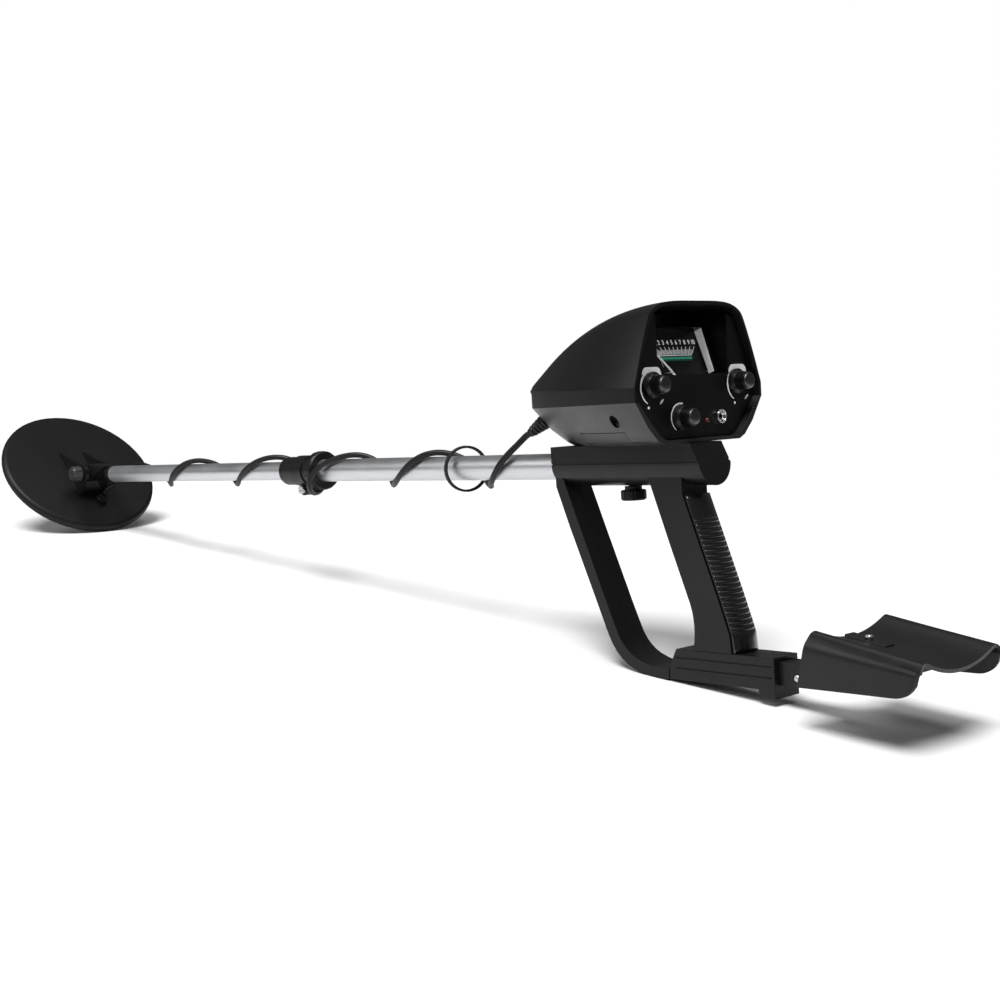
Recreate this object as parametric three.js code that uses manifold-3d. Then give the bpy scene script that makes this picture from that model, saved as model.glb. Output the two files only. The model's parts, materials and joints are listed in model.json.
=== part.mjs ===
// A hobby metal detector standing on its foot and on the lower rim of its search coil.
// Millimetres. The detector is modelled along its stem: x forward to the coil, y to the left, z up.
// One outer group then pitches it onto the ground, so the foot's flat face lies at the origin.
import * as THREE from 'three';
import { mergeVertices } from 'three/addons/utils/BufferGeometryUtils.js';
import Module from 'manifold-3d';

const wasm = await Module();
wasm.setup();

// ---------- driving dimensions ----------
const gap = 0.3; // running clearance between neighbours

const upperTubeRadius = 9.7;
const upperTubeWall = 1.0;
const upperTubeFront = 262;
const upperTubeRear = -165;
const lowerTubeRadius = 8.4;
const lowerTubeWall = 0.9;
const lowerTubeFront = 624;
const lowerTubeRear = 180;

const coilDiameter = 165;
const coilThickness = 10;
const coilWall = 2.2;
const coilTilt = THREE.MathUtils.degToRad(47.1); // coil plane to stem, front edge up
const pivotX = 668;
const pivotZ = 2;
const pivotAhead = 24.35; // coil centre ahead of the pivot, along the coil
const pivotHeight = 26.8; // pivot above the coil's middle plane
const earInnerFace = 11.75;
const earThickness = 3.5;
const earRadius = 9.3;
const boltRadius = 3;
const yokeHalfWidth = 9.5;

const housingWall = 2.6;
const housingRear = -182;
const noseX = -28.4;
const noseHalfWidth = 9.4;
const noseTopZ = 57;
const faceHalfWidth = 64.7;
const faceTopZ = 109;
const partingZ = 44;
const creaseZ = 53.3;
const housingBottomZ = 15.3;

const panelX = -177.3; // outer face of the control panel
const panelThickness = 3;
const windowHalfWidth = 36;
const windowBottomZ = 60.5;
const tubDepthX = -143;
const meterTilt = THREE.MathUtils.degToRad(18);
const meterX = -166.5;
const meterZ = 61;
const meterHalfWidth = 26.4;
const meterHeight = 32;
const needlePivotDrop = 13;
const needleRest = THREE.MathUtils.degToRad(38); // the needle rests at the low end of the scale

const knobY = 43;
const knobZ = 54.6;
const volumeY = 15.8;
const volumeZ = 32.4;
const knobHeight = 13.5;
const knobSkirtRadius = 8.6;
const knobTopRadius = 6;
const shaftRadius = 3;
const ledPlace = [-11, 29];
const socketPlace = [-24.6, 31.3];

const handleHalfWidth = 13;
const handleTopZ = 15;
const handleFront = -52.6;
const handleRear = -184; // at the top; the end leans back from there down to the crease
const railHalfWidth = 16.5; // the rail over the two legs is square above its crease and round below it
const railCreaseZ = 2.5;
const handleLegFoot = -137.8; // top of the bar under the hand space
const handleBarBottom = -145.3;
const handleSplit = 0.15; // half the hairline between the two halves
const heelX = -140.6; // the flat the handle stands on starts here
const heelLength = 13;

const baseFront = -152.6;
const baseRear = -241.8;
const footFront = -228.4;
const footBottomZ = -151;
const baseTopZ = -124.2;
const baseHalfWidth = 12.6;
const tongueHalfWidth = 8;
const tongueTopZ = -127;
const tongueBottomZ = -142;
const tongueInnerEnd = -190;

const cupFront = -292.8;
const cupRear = -368.8;
const cupHalfWidth = 38.6;
const cupRidgeHalfWidth = 43.4;
const cupFrontZ = -100.6;
const cupRearZ = -114.4;
const cupDepth = 9;
const cupWall = 2.4;
const skirtBottomZ = -133.2;

const cableRadius = 2.4;

// ---------- how it stands: the heel of the handle and the coil's lowest edge touch the ground ----------
const coilSides = 56;
const rimAhead = pivotAhead - (coilDiameter / 2) * Math.cos(Math.PI / coilSides) + 0.6;
const rimHeight = -pivotHeight - coilThickness / 2 + 1.4;
const rimX = pivotX + rimAhead * Math.cos(coilTilt) - rimHeight * Math.sin(coilTilt);
const rimZ = pivotZ + rimAhead * Math.sin(coilTilt) + rimHeight * Math.cos(coilTilt);
const stemPitch = Math.atan2(rimZ - handleBarBottom, rimX - heelX);
const heelEndX = heelX + heelLength * Math.cos(stemPitch);
const heelEndZ = handleBarBottom + heelLength * Math.sin(stemPitch);
const heelMiddle = [(heelX + heelEndX) / 2, (handleBarBottom + heelEndZ) / 2];

// ---------- materials ----------
const finish = (colour, roughness, metalness = 0) => new THREE.MeshStandardMaterial({ color: colour, roughness, metalness });
const blackPlastic = finish(0x1b1b1d, 0.42);
const glossPlastic = finish(0x141416, 0.22);
const greyPlastic = finish(0x6d6f72, 0.4);
const brightTube = finish(0xc9cbce, 0.3, 1);
const blackRubber = finish(0x171717, 0.7);
const steel = finish(0xb8bbc0, 0.3, 1);
const copper = finish(0xb06a3a, 0.4, 1);
const whitePlastic = finish(0xe8e8e4, 0.4);
const clearPlastic = finish(0xdfe7e8, 0.1);
const redLens = finish(0x9b2b2b, 0.2);
const boardGreen = finish(0x1f5a34, 0.5);

// ---------- shape helpers ----------
// A closed geometry becomes a solid that can be cut and joined.
function toSolid(geometry) {
  const bare = geometry.index ? geometry.toNonIndexed() : geometry.clone();
  bare.deleteAttribute('normal');
  bare.deleteAttribute('uv');
  const merged = mergeVertices(bare, 1e-4);
  const vertProperties = new Float32Array(merged.attributes.position.array);
  const triVerts = [];
  const index = merged.index.array;
  for (let i = 0; i < index.length; i += 3) {
    const [a, b, c] = [index[i], index[i + 1], index[i + 2]];
    if (a !== b && b !== c && c !== a) triVerts.push(a, b, c);
  }
  const faces = new Uint32Array(triVerts);
  if (signedVolume(vertProperties, faces) < 0) {
    for (let i = 0; i < faces.length; i += 3) [faces[i], faces[i + 1]] = [faces[i + 1], faces[i]];
  }
  return new wasm.Manifold(new wasm.Mesh({ numProp: 3, vertProperties, triVerts: faces }));
}

function signedVolume(points, faces) {
  const corner = [new THREE.Vector3(), new THREE.Vector3(), new THREE.Vector3()];
  let total = 0;
  for (let i = 0; i < faces.length; i += 3) {
    corner.forEach((v, k) => v.fromArray(points, 3 * faces[i + k]));
    total += corner[0].dot(corner[1].clone().cross(corner[2]));
  }
  return total / 6;
}

function toGeometry(solid) {
  const mesh = solid.getMesh();
  const geometry = new THREE.BufferGeometry();
  geometry.setAttribute('position', new THREE.BufferAttribute(new Float32Array(mesh.vertProperties), 3));
  geometry.setIndex(new THREE.BufferAttribute(new Uint32Array(mesh.triVerts), 1));
  const flat = geometry.toNonIndexed();
  flat.computeVertexNormals();
  return flat;
}

// Places a geometry by turning it about x, y, z in turn and then shifting it.
function placed(geometry, shift = [0, 0, 0], turn = [0, 0, 0]) {
  geometry.applyMatrix4(new THREE.Matrix4().makeRotationFromEuler(new THREE.Euler(...turn)));
  geometry.translate(...shift);
  return geometry;
}

function box(low, high) {
  const size = high.map((v, i) => v - low[i]);
  const centre = high.map((v, i) => (v + low[i]) / 2);
  return toSolid(placed(new THREE.BoxGeometry(...size), centre));
}

// A round bar whose axis runs along x, y or z from one coordinate to another.
function rod(axis, radius, from, to, centre, sides = 24) {
  const bar = new THREE.CylinderGeometry(radius, radius, to - from, sides);
  const mid = (from + to) / 2;
  if (axis === 'x') return toSolid(placed(bar, [mid, centre[0], centre[1]], [0, 0, Math.PI / 2]));
  if (axis === 'y') return toSolid(placed(bar, [centre[0], mid, centre[1]]));
  return toSolid(placed(bar, [centre[0], centre[1], mid], [Math.PI / 2, 0, 0]));
}

// A round bar between two points.
function bar(from, to, radius, sides = 16) {
  const start = new THREE.Vector3(...from);
  const run = new THREE.Vector3(...to).sub(start);
  const geometry = new THREE.CylinderGeometry(radius, radius, run.length(), sides);
  geometry.translate(0, run.length() / 2, 0);
  geometry.applyQuaternion(new THREE.Quaternion().setFromUnitVectors(new THREE.Vector3(0, 1, 0), run.normalize()));
  geometry.translate(...from);
  return toSolid(geometry);
}

// A turned piece: pairs of radius and distance along the axis.
function turned(axis, profile, centre, sides = 32, spin = 0) {
  const geometry = new THREE.LatheGeometry(profile.map(([r, h]) => new THREE.Vector2(r, h)), sides, spin);
  if (axis === 'x') return toSolid(placed(geometry, [0, centre[0], centre[1]], [0, 0, -Math.PI / 2]));
  if (axis === 'y') return toSolid(placed(geometry, [centre[0], 0, centre[1]]));
  return toSolid(placed(geometry, [centre[0], centre[1], 0], [Math.PI / 2, 0, 0]));
}

// A side outline in x and z, given a width from one y to another.
function sideSlab(outline, fromY, toY, bevel = 0, curveSegments = 6) {
  const shape = outline instanceof THREE.Shape ? outline : new THREE.Shape(outline.map(([x, z]) => new THREE.Vector2(x, z)));
  const settings = { depth: toY - fromY - 2 * bevel, bevelEnabled: bevel > 0, curveSegments };
  Object.assign(settings, { bevelSize: bevel, bevelOffset: -bevel, bevelThickness: bevel, bevelSegments: 2 });
  const geometry = new THREE.ExtrudeGeometry(shape, settings);
  return toSolid(placed(geometry, [0, toY - bevel, 0], [Math.PI / 2, 0, 0]));
}

// A cross-section in y and z, drawn out along x.
function stemSlab(outline, fromX, toX) {
  const shape = new THREE.Shape(outline.map(([y, z]) => new THREE.Vector2(y, z)));
  const geometry = new THREE.ExtrudeGeometry(shape, { depth: toX - fromX, bevelEnabled: false });
  const axes = new THREE.Matrix4().makeBasis(
    new THREE.Vector3(0, 1, 0), new THREE.Vector3(0, 0, 1), new THREE.Vector3(1, 0, 0));
  geometry.applyMatrix4(axes);
  geometry.translate(fromX, 0, 0);
  return toSolid(geometry);
}

// Rings of equal count joined into a closed skin. The end rings are capped in the plane of axes u and v.
function loft(rings, u, v) {
  const count = rings[0].length;
  const points = rings.flat().flat();
  const faces = [];
  for (let i = 0; i + 1 < rings.length; i++) {
    for (let j = 0; j < count; j++) {
      const k = (j + 1) % count;
      const [a, b, c, d] = [i * count + j, i * count + k, (i + 1) * count + k, (i + 1) * count + j];
      faces.push(a, b, c, a, c, d);
    }
  }
  const capOf = (ring, base, flip) => {
    const flat = ring.map((p) => new THREE.Vector2(p[u], p[v]));
    for (const [a, b, c] of THREE.ShapeUtils.triangulateShape(flat, [])) {
      if (flip) faces.push(base + a, base + b, base + c);
      else faces.push(base + a, base + c, base + b);
    }
  };
  const area = THREE.ShapeUtils.area(rings[0].map((p) => new THREE.Vector2(p[u], p[v])));
  // side faces wind with the ring, so the caps follow the ring's own sense
  capOf(rings[0], 0, area > 0 ? false : true);
  capOf(rings.at(-1), (rings.length - 1) * count, area > 0 ? true : false);
  const geometry = new THREE.BufferGeometry();
  geometry.setAttribute('position', new THREE.Float32BufferAttribute(points, 3));
  geometry.setIndex(faces);
  return toSolid(geometry);
}

const joined = (...solids) => solids.reduce((sum, next) => sum.add(next));
const cut = (body, ...tools) => tools.reduce((rest, tool) => rest.subtract(tool), body);

// A pipe round the x axis.
const pipe = (outer, inner, from, to, sides = 32) => turned('x', [[inner, from], [outer, from], [outer, to], [inner, to], [inner, from]], [0, 0], sides);

function addPiece(group, name, solid, material) {
  const mesh = new THREE.Mesh(toGeometry(solid), material);
  mesh.name = name;
  group.add(mesh);
  return mesh;
}

// ---------- groups ----------
const detector = new THREE.Group();
const stem = new THREE.Group();
stem.rotation.y = stemPitch;
const heelTurned = new THREE.Vector3(heelMiddle[0], 0, heelMiddle[1]).applyAxisAngle(new THREE.Vector3(0, 1, 0), stemPitch);
stem.position.copy(heelTurned).negate();
detector.add(stem);

const coil = new THREE.Group();
coil.position.set(pivotX, 0, pivotZ);
coil.rotation.y = -coilTilt;
stem.add(coil);

const meter = new THREE.Group();
meter.position.set(meterX, 0, meterZ);
meter.rotation.y = meterTilt;
stem.add(meter);

// ---------- search coil, measured from its pivot ----------
const coilTop = -pivotHeight + coilThickness / 2;
const coilBottom = -pivotHeight - coilThickness / 2;
const coilSplit = -pivotHeight - 1;
const coilRadius = coilDiameter / 2;

function coilShellProfile() {
  const rim = 4.5; // rounding of the top edge
  const outer = [[0, coilTop]];
  for (let i = 0; i <= 3; i++) {
    const a = (i / 3) * Math.PI / 2;
    outer.push([coilRadius - rim + rim * Math.sin(a), coilTop - rim + rim * Math.cos(a)]);
  }
  const inner = coilRadius - coilWall;
  outer.push([coilRadius, coilSplit], [inner, coilSplit], [inner, coilTop - coilWall - 1.5]);
  outer.push([inner - 2, coilTop - coilWall], [0, coilTop - coilWall]);
  return outer;
}

function coilEar(side) {
  const inner = side * earInnerFace;
  const outer = side * (earInnerFace + earThickness);
  const toe = pivotAhead + 26;
  const heel = pivotAhead - 36;
  const outline = new THREE.Shape();
  outline.moveTo(toe, coilTop - 1);
  outline.lineTo(toe, coilTop + 0.6);
  outline.absarc(0, 0, earRadius, Math.PI * 0.31, Math.PI * 0.97, false);
  outline.lineTo(heel, coilTop - 1);
  outline.closePath();
  return sideSlab(outline, Math.min(inner, outer), Math.max(inner, outer), 0, 6);
}

function makeCoil() {
  const halfStep = Math.PI / coilSides;
  const disc = turned('z', coilShellProfile(), [pivotAhead, 0], coilSides, halfStep);
  const boltHole = rod('y', boltRadius + gap, -30, 30, [0, 0], 16);
  const gland = [pivotAhead - 46, -6];
  const glandHole = rod('z', 4 + gap, coilTop - coilWall - 1, coilTop + 1, gland, 16);
  const shell = cut(joined(disc, coilEar(1), coilEar(-1)), boltHole, glandHole);
  addPiece(coil, 'coil_upper_shell', shell, blackPlastic);

  const coverTop = coilSplit - gap;
  const lip = coilRadius - coilWall - gap;
  const cover = turned('z', [
    [0, coverTop], [lip - 1.4, coverTop], [lip - 1.4, coverTop + 1.6], [lip, coverTop + 1.6], [lip, coverTop],
    [coilRadius, coverTop], [coilRadius - 0.6, coilBottom + 1.4], [coilRadius - 2.2, coilBottom], [0, coilBottom],
  ], [pivotAhead, 0], coilSides, halfStep);
  addPiece(coil, 'coil_lower_cover', cover, blackPlastic);

  const windingLow = coverTop + gap;
  const winding = (outer, inner, height) => turned('z', [
    [inner, windingLow], [outer, windingLow], [outer, windingLow + height], [inner, windingLow + height], [inner, windingLow],
  ], [pivotAhead, 0], 40);
  addPiece(coil, 'transmit_winding', winding(coilRadius - 5, coilRadius - 11, 3.2), copper);
  addPiece(coil, 'receive_winding', winding(40, 35, 3), copper);

  const boltEnd = earInnerFace + earThickness;
  const bolt = joined(
    rod('y', boltRadius, -boltEnd - 1, boltEnd + 9, [0, 0], 16),
    rod('y', 5.4, -boltEnd - 4, -boltEnd - gap, [0, 0], 6));
  addPiece(coil, 'coil_pivot_bolt', bolt, steel);

  const knobStart = boltEnd + gap;
  let knob = turned('y', [[0, knobStart], [6.5, knobStart], [8, knobStart + 2.2], [8, knobStart + 9.5],
    [6.8, knobStart + 11.5], [0, knobStart + 11.5]], [0, 0], 24);
  for (let i = 0; i < 6; i++) {
    const a = (i * Math.PI) / 3;
    const scoop = rod('y', 2.6, knobStart + 2, knobStart + 13, [9.4 * Math.cos(a), 9.4 * Math.sin(a)], 10);
    knob = knob.subtract(scoop);
  }
  knob = knob.subtract(rod('y', boltRadius + gap, knobStart - 1, boltEnd + 9 + gap, [0, 0], 16));
  addPiece(coil, 'coil_lock_knob', knob, greyPlastic);

  const cableHole = rod('z', cableRadius + gap, coilTop - 6, coilTop + 12, gland, 12);
  const glandBody = joined(
    rod('z', 4, coilTop - coilWall - 0.9, coilTop + 1, gland, 16),
    rod('z', 6.6, coilTop + gap, coilTop + 5, gland, 6),
    rod('z', 4.4, coilTop + 4, coilTop + 9.6, gland, 16));
  addPiece(coil, 'coil_cable_gland', cut(glandBody, cableHole), blackPlastic);
  return { gland };
}

// ---------- lower stem ----------
function makeLowerStem() {
  addPiece(stem, 'lower_tube', pipe(lowerTubeRadius, lowerTubeRadius - lowerTubeWall, lowerTubeRear, lowerTubeFront, 32), brightTube);

  const plugRadius = lowerTubeRadius - lowerTubeWall - gap;
  const arm = new THREE.Shape();
  arm.moveTo(lowerTubeFront + 4, -lowerTubeRadius);
  arm.absarc(pivotX, pivotZ, earRadius, -Math.PI / 2, Math.PI / 2, false);
  arm.lineTo(lowerTubeFront + 4, lowerTubeRadius);
  arm.closePath();
  const yoke = joined(
    rod('x', plugRadius, lowerTubeFront - 24, lowerTubeFront + 1, [0, 0], 24),
    rod('x', lowerTubeRadius + 0.9, lowerTubeFront + gap, lowerTubeFront + 6, [0, 0], 24),
    sideSlab(arm, -yokeHalfWidth, yokeHalfWidth, 1, 8));
  const boltHole = rod('y', boltRadius + gap, -30, 30, [pivotX, pivotZ], 16);
  addPiece(stem, 'stem_yoke', cut(yoke, boltHole), blackPlastic);

  for (const [side, label] of [[1, 'left'], [-1, 'right']]) {
    const near = yokeHalfWidth + gap;
    const far = earInnerFace - gap;
    const ends = side > 0 ? [near, far] : [-far, -near];
    const washer = rod('y', 8, ends[0], ends[1], [pivotX, pivotZ], 24)
      .subtract(rod('y', boltRadius + gap, -30, 30, [pivotX, pivotZ], 16));
    addPiece(stem, `rubber_washer_${label}`, washer, blackRubber);
  }

  const bore = upperTubeRadius - upperTubeWall;
  const bush = turned('x', [
    [4, lowerTubeRear - 6], [bore - gap, lowerTubeRear - 6], [bore - gap, lowerTubeRear - gap],
    [plugRadius, lowerTubeRear - gap], [plugRadius, lowerTubeRear + 14], [4, lowerTubeRear + 14], [4, lowerTubeRear - 6],
  ], [0, 0], 24);
  addPiece(stem, 'lower_tube_bush', bush, whitePlastic);
}

// ---------- upper tube and its lock ----------
const sleeveRadius = 12.6;
const sleeveFront = 303;
const flangeFront = 256.5;
const flangeRear = 247.8;
const lockRingRadius = 17;
const clampX = 275;
const clampZ = -16.4;

function makeStemLock() {
  addPiece(stem, 'upper_tube', pipe(upperTubeRadius, upperTubeRadius - upperTubeWall, upperTubeRear, upperTubeFront, 32), brightTube);

  const step = upperTubeFront + gap;
  const sleeve = turned('x', [
    [upperTubeRadius + gap, flangeFront + gap], [sleeveRadius, flangeFront + gap], [sleeveRadius, sleeveFront - 2],
    [sleeveRadius - 1.4, sleeveFront], [lowerTubeRadius + gap, sleeveFront], [lowerTubeRadius + gap, step],
    [upperTubeRadius + gap, step], [upperTubeRadius + gap, flangeFront + gap],
  ], [0, 0], 32);
  const clampBand = pipe(sleeveRadius + 1.1, sleeveRadius - 1, clampX - 8, clampX + 8, 32);
  const lug = (low, high) => joined(rod('y', 5.2, low, high, [clampX, clampZ], 16),
    box([clampX - 5.2, low, clampZ], [clampX + 5.2, high, -sleeveRadius + 1.5]));
  const slit = box([clampX - 12, -1.1, -30], [sleeveFront + 5, 1.1, -lowerTubeRadius + 1]);
  const screwHole = rod('y', 2 + gap, -12, 12, [clampX, clampZ], 12);
  const body = cut(joined(sleeve, clampBand, lug(-5.4, 5.4)), slit, screwHole);
  addPiece(stem, 'stem_clamp_sleeve', body, blackPlastic);

  const screw = joined(rod('y', 2, -7.6, 6.4, [clampX, clampZ], 12),
    rod('y', 3.8, 5.4 + gap, 8.6, [clampX, clampZ], 16));
  const slot = box([clampX - 5, 7.6, clampZ - 0.5], [clampX + 5, 9, clampZ + 0.5]);
  addPiece(stem, 'clamp_screw', cut(screw, slot), steel);
  const nut = rod('y', 3.9, -9.2, -5.4 - gap, [clampX, clampZ], 6)
    .subtract(rod('y', 2 + gap, -8.2, 0, [clampX, clampZ], 12));
  addPiece(stem, 'clamp_nut', nut, steel);

  let ring = turned('x', [
    [upperTubeRadius + gap, flangeRear], [lockRingRadius - 1.4, flangeRear], [lockRingRadius, flangeRear + 1.4],
    [lockRingRadius, flangeFront - 1.4], [lockRingRadius - 1.4, flangeFront], [upperTubeRadius + gap, flangeFront], [upperTubeRadius + gap, flangeRear],
  ], [0, 0], 32);
  for (let i = 0; i < 16; i++) {
    const a = ((i + 0.5) * Math.PI) / 8;
    const notch = rod('x', 0.9, flangeRear - 1, flangeFront + 1, [(lockRingRadius + 0.2) * Math.cos(a), (lockRingRadius + 0.2) * Math.sin(a)], 6);
    ring = ring.subtract(notch);
  }
  addPiece(stem, 'lock_ring', ring, blackPlastic);

  const strap = turned('y', [[16.3, -2.3], [18.2, -2.3], [18.2, 2.3], [16.3, 2.3], [16.3, -2.3]], [0, 0], 32);
  const strapYaw = THREE.MathUtils.degToRad(20);
  const band = addPiece(stem, 'cable_strap', strap, blackRubber);
  band.rotation.set(0, 0, -Math.PI / 2 - strapYaw);
  band.position.set(61, -0.8, -0.5);
}

// ---------- cable ----------
// The route winds round the stem. Each station: place along the stem, angle in quarter turns from the
// far side going under, and distance from the stem's axis.
const clear = cableRadius + 0.75;
const onLower = lowerTubeRadius + clear;
const onUpper = upperTubeRadius + clear;
const onSleeve = sleeveRadius + clear + 0.4;
const overRing = lockRingRadius + clear + 0.3;
const windings = [
  [548, 0, onLower], [510, 1, onLower], [484, 2, onLower], [458, 3, onLower], [424, 4, onLower], [389, 5, onLower],
  [360, 6, onLower], [331, 7, onLower + 1], [306, 7.85, onSleeve], [286, 8.15, onSleeve], [271, 8.38, onSleeve + 0.3],
  [262.5, 8.86, onSleeve + 2], [256.5, 9.28, overRing], [249, 9.62, overRing], [243, 9.92, onUpper + 4.2],
  [232, 10.3, onUpper + 1], [205, 11, onUpper], [180, 12, onUpper], [153, 13, onUpper], [122, 14, onUpper],
  [95, 15, onUpper], [63, 16, onUpper - 0.3], [34, 17, onUpper],
];
const relief = { end: [-17.5, 2, 25.6], base: [-35, 1, 34.8], inner: [-43.8, 0.5, 39.4] };

// A smooth value between the stations on either side of place k in the list.
function between(k, part) {
  const last = windings.length - 1;
  const i = Math.min(Math.floor(k), last - 1);
  const t = k - i;
  const at = (n) => windings[Math.max(0, Math.min(last, n))][part];
  const [a, b, c, d] = [at(i - 1), at(i), at(i + 1), at(i + 2)];
  return b + 0.5 * t * (c - a + t * (2 * a - 5 * b + 4 * c - d + t * (3 * (b - c) + d - a)));
}

function stemCableRoute() {
  const points = [[550, -onLower, 0.6]];
  for (let n = 0; n <= 3 * (windings.length - 1); n++) {
    const k = n / 3;
    const angle = Math.PI + (between(k, 1) * Math.PI) / 2;
    const radius = between(k, 2);
    points.push([between(k, 0), radius * Math.cos(angle), radius * Math.sin(angle)]);
  }
  points.push([25, 6.6, -11.6], [16, 11.6, -6.2], [8, 13, 1.5], [0, 11.2, 9.6], [-8, 7, 17.4]);
  points.push([-13.4, 3.2, 23.3], relief.end, relief.end.map((v, i) => v + (relief.base[i] - v) * 0.4));
  return points;
}

const leadRoute = [
  [661.6, -6, -21.6], [656.2, -6.8, -16.4], [647, -11.4, -11.4], [635.5, -13.6, -4.6], [622, -14, 2], [606, -13.4, 7.2],
  [590, -12.6, 8.6], [575, -12.2, 6.6], [561, -11.8, 3.2], [548.4, -11.55, 0.1],
];

function cableSolid(route, steps) {
  const path = new THREE.CatmullRomCurve3(route.map((p) => new THREE.Vector3(...p)), false, 'centripetal');
  path.arcLengthDivisions = 1200;
  const section = new THREE.Shape();
  for (let i = 0; i <= 8; i++) {
    const a = (i * Math.PI) / 4;
    if (i === 0) section.moveTo(cableRadius, 0);
    else section.lineTo(cableRadius * Math.cos(a), cableRadius * Math.sin(a));
  }
  return toSolid(new THREE.ExtrudeGeometry(section, { steps, bevelEnabled: false, extrudePath: path }));
}

function makeCable() {
  // the two lengths meet end to end where the cable passes behind the lower tube
  const meet = 548;
  const behind = box([meet, -20, -20], [meet + 20, 20, 20]);
  const ahead = box([meet - 20, -20, -20], [meet + gap, 20, 20]);
  addPiece(stem, 'stem_cable', cableSolid(stemCableRoute(), 84).subtract(behind), blackRubber);
  addPiece(stem, 'coil_cable_lead', cableSolid(leadRoute, 22).subtract(ahead), blackRubber);

  const from = new THREE.Vector3(...relief.base);
  const to = new THREE.Vector3(...relief.end);
  const length = from.distanceTo(to);
  const profile = [[0, 0], [6.2, 0], [6.2, 2]];
  for (let i = 0; i < 4; i++) {
    const h = 3 + i * 3.8;
    const r = 5.7 - i * 0.5;
    profile.push([r - 1, h], [r, h + 0.6], [r, h + 2.4], [r - 1, h + 3]);
  }
  profile.push([3.4, length], [0, length]);
  const boot = new THREE.LatheGeometry(profile.map(([r, h]) => new THREE.Vector2(r, h)), 20);
  boot.applyQuaternion(new THREE.Quaternion().setFromUnitVectors(new THREE.Vector3(0, 1, 0), to.sub(from).normalize()));
  boot.translate(...relief.base);
  const overTip = relief.end.map((v, i) => v + (v - relief.base[i]) * 0.1);
  const cableWay = bar(relief.base, overTip, cableRadius + gap, 12);
  return joined(toSolid(boot), bar(relief.inner, relief.base.map((v, i) => v + (relief.end[i] - v) * 0.05), 4))
    .subtract(cableWay);
}

// ---------- control housing ----------
const housingLength = noseX - housingRear;
const fullness = (s, power, root) => Math.pow(Math.max(0, 1 - Math.pow(s, power)), 1 / root);

// Half outline of one cross-section, s running 0 at the face to 1 at the nose.
function sectionHalf(s, inset, low) {
  const halfWidth = noseHalfWidth + (faceHalfWidth - noseHalfWidth) * fullness(s, 1.824, 1.068) - inset;
  const top = noseTopZ + (faceTopZ - noseTopZ) * fullness(s, 2.025, 1.134) - inset;
  const crease = creaseZ + 3.4 * s - inset * 0.5;
  const shoulder = halfWidth * (0.68 - 0.26 * s);
  const shoulderZ = crease + (top - crease) * 0.86;
  const points = [[halfWidth, low], [halfWidth, crease]];
  for (let i = 1; i <= 3; i++) {
    const t = i / 3;
    points.push([halfWidth + (shoulder + 3 - halfWidth) * t, crease + (shoulderZ - crease) * t + 2.2 * Math.sin(Math.PI * t)]);
  }
  for (let i = 1; i <= 5; i++) {
    const y = (shoulder + 3) * (1 - i / 5);
    points.push([y, top - (top - shoulderZ) * Math.pow(y / (shoulder + 3), 3.2)]);
  }
  return points;
}

function mirroredLoop(half) {
  const left = half.slice(0, -1);
  const right = left.map(([y, z]) => [-y, z]).reverse();
  return [...left, half.at(-1), ...right];
}

// low: the parting height; rear: where the loft starts; inset: how far inside the outer skin.
function upperLoft(inset, low, rear) {
  const stations = [0, 0.12, 0.25, 0.38, 0.5, 0.62, 0.73, 0.83, 0.91, 0.97, 1];
  const rings = stations.map((s) => {
    const x = s === 0 ? rear : housingRear + s * (housingLength - inset);
    return mirroredLoop(sectionHalf(s, inset, low)).map(([y, z]) => [x, y, z]);
  });
  return loft(rings, 1, 2);
}

// Plan outline at the parting line, and the smaller ones below it.
function planLoop(inset, lengthShare, widthShare, z, rear) {
  const half = [];
  for (const s of [0, 0.08, 0.22, 0.4, 0.55, 0.68, 0.79, 0.88, 0.95, 1]) {
    const halfWidth = noseHalfWidth + (faceHalfWidth - noseHalfWidth) * fullness(s, 1.824, 1.068);
    const x = s === 0 ? rear : housingRear + s * housingLength * lengthShare - inset;
    half.push([x, halfWidth * widthShare - inset, z]);
  }
  return [...half, ...half.map(([x, y, h]) => [x, -y, h]).reverse()];
}

// Each level of the lower shell: height above its underside, then shares of the parting outline's length and width.
const lowerLevels = [[0, 0.75, 0.6], [2.8, 0.79, 0.69], [12, 0.885, 0.83]];

function lowerLoft(inset, rear, floor, topZ) {
  const rings = lowerLevels.map(([up, long, wide]) => planLoop(inset, long, wide, housingBottomZ + up + floor, rear));
  rings.push(planLoop(inset, 1, 1, partingZ - gap / 2, rear));
  if (topZ > partingZ) rings.push(planLoop(inset, 1, 1, topZ, rear));
  return loft(rings, 0, 1);
}

// The face's outline from the underside round the widest point to the crown, a little way into the housing.
function faceLoop(inset) {
  const levels = lowerLevels.map(([up, , wide]) => [faceHalfWidth * wide - inset, housingBottomZ + up + inset * 0.9]);
  return mirroredLoop([...levels, ...sectionHalf(0.07, inset, partingZ)]);
}

const knobAxes = [
  ['discrimination', knobY, knobZ],
  ['tuning', -knobY, knobZ],
  ['volume', volumeY, volumeZ],
];

const speakerPlace = [-132, -14.6];
const batteryLow = [-160.5, 0.8, 19.8];
const batteryHigh = [-114.5, 25.6, 36.5];

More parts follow.
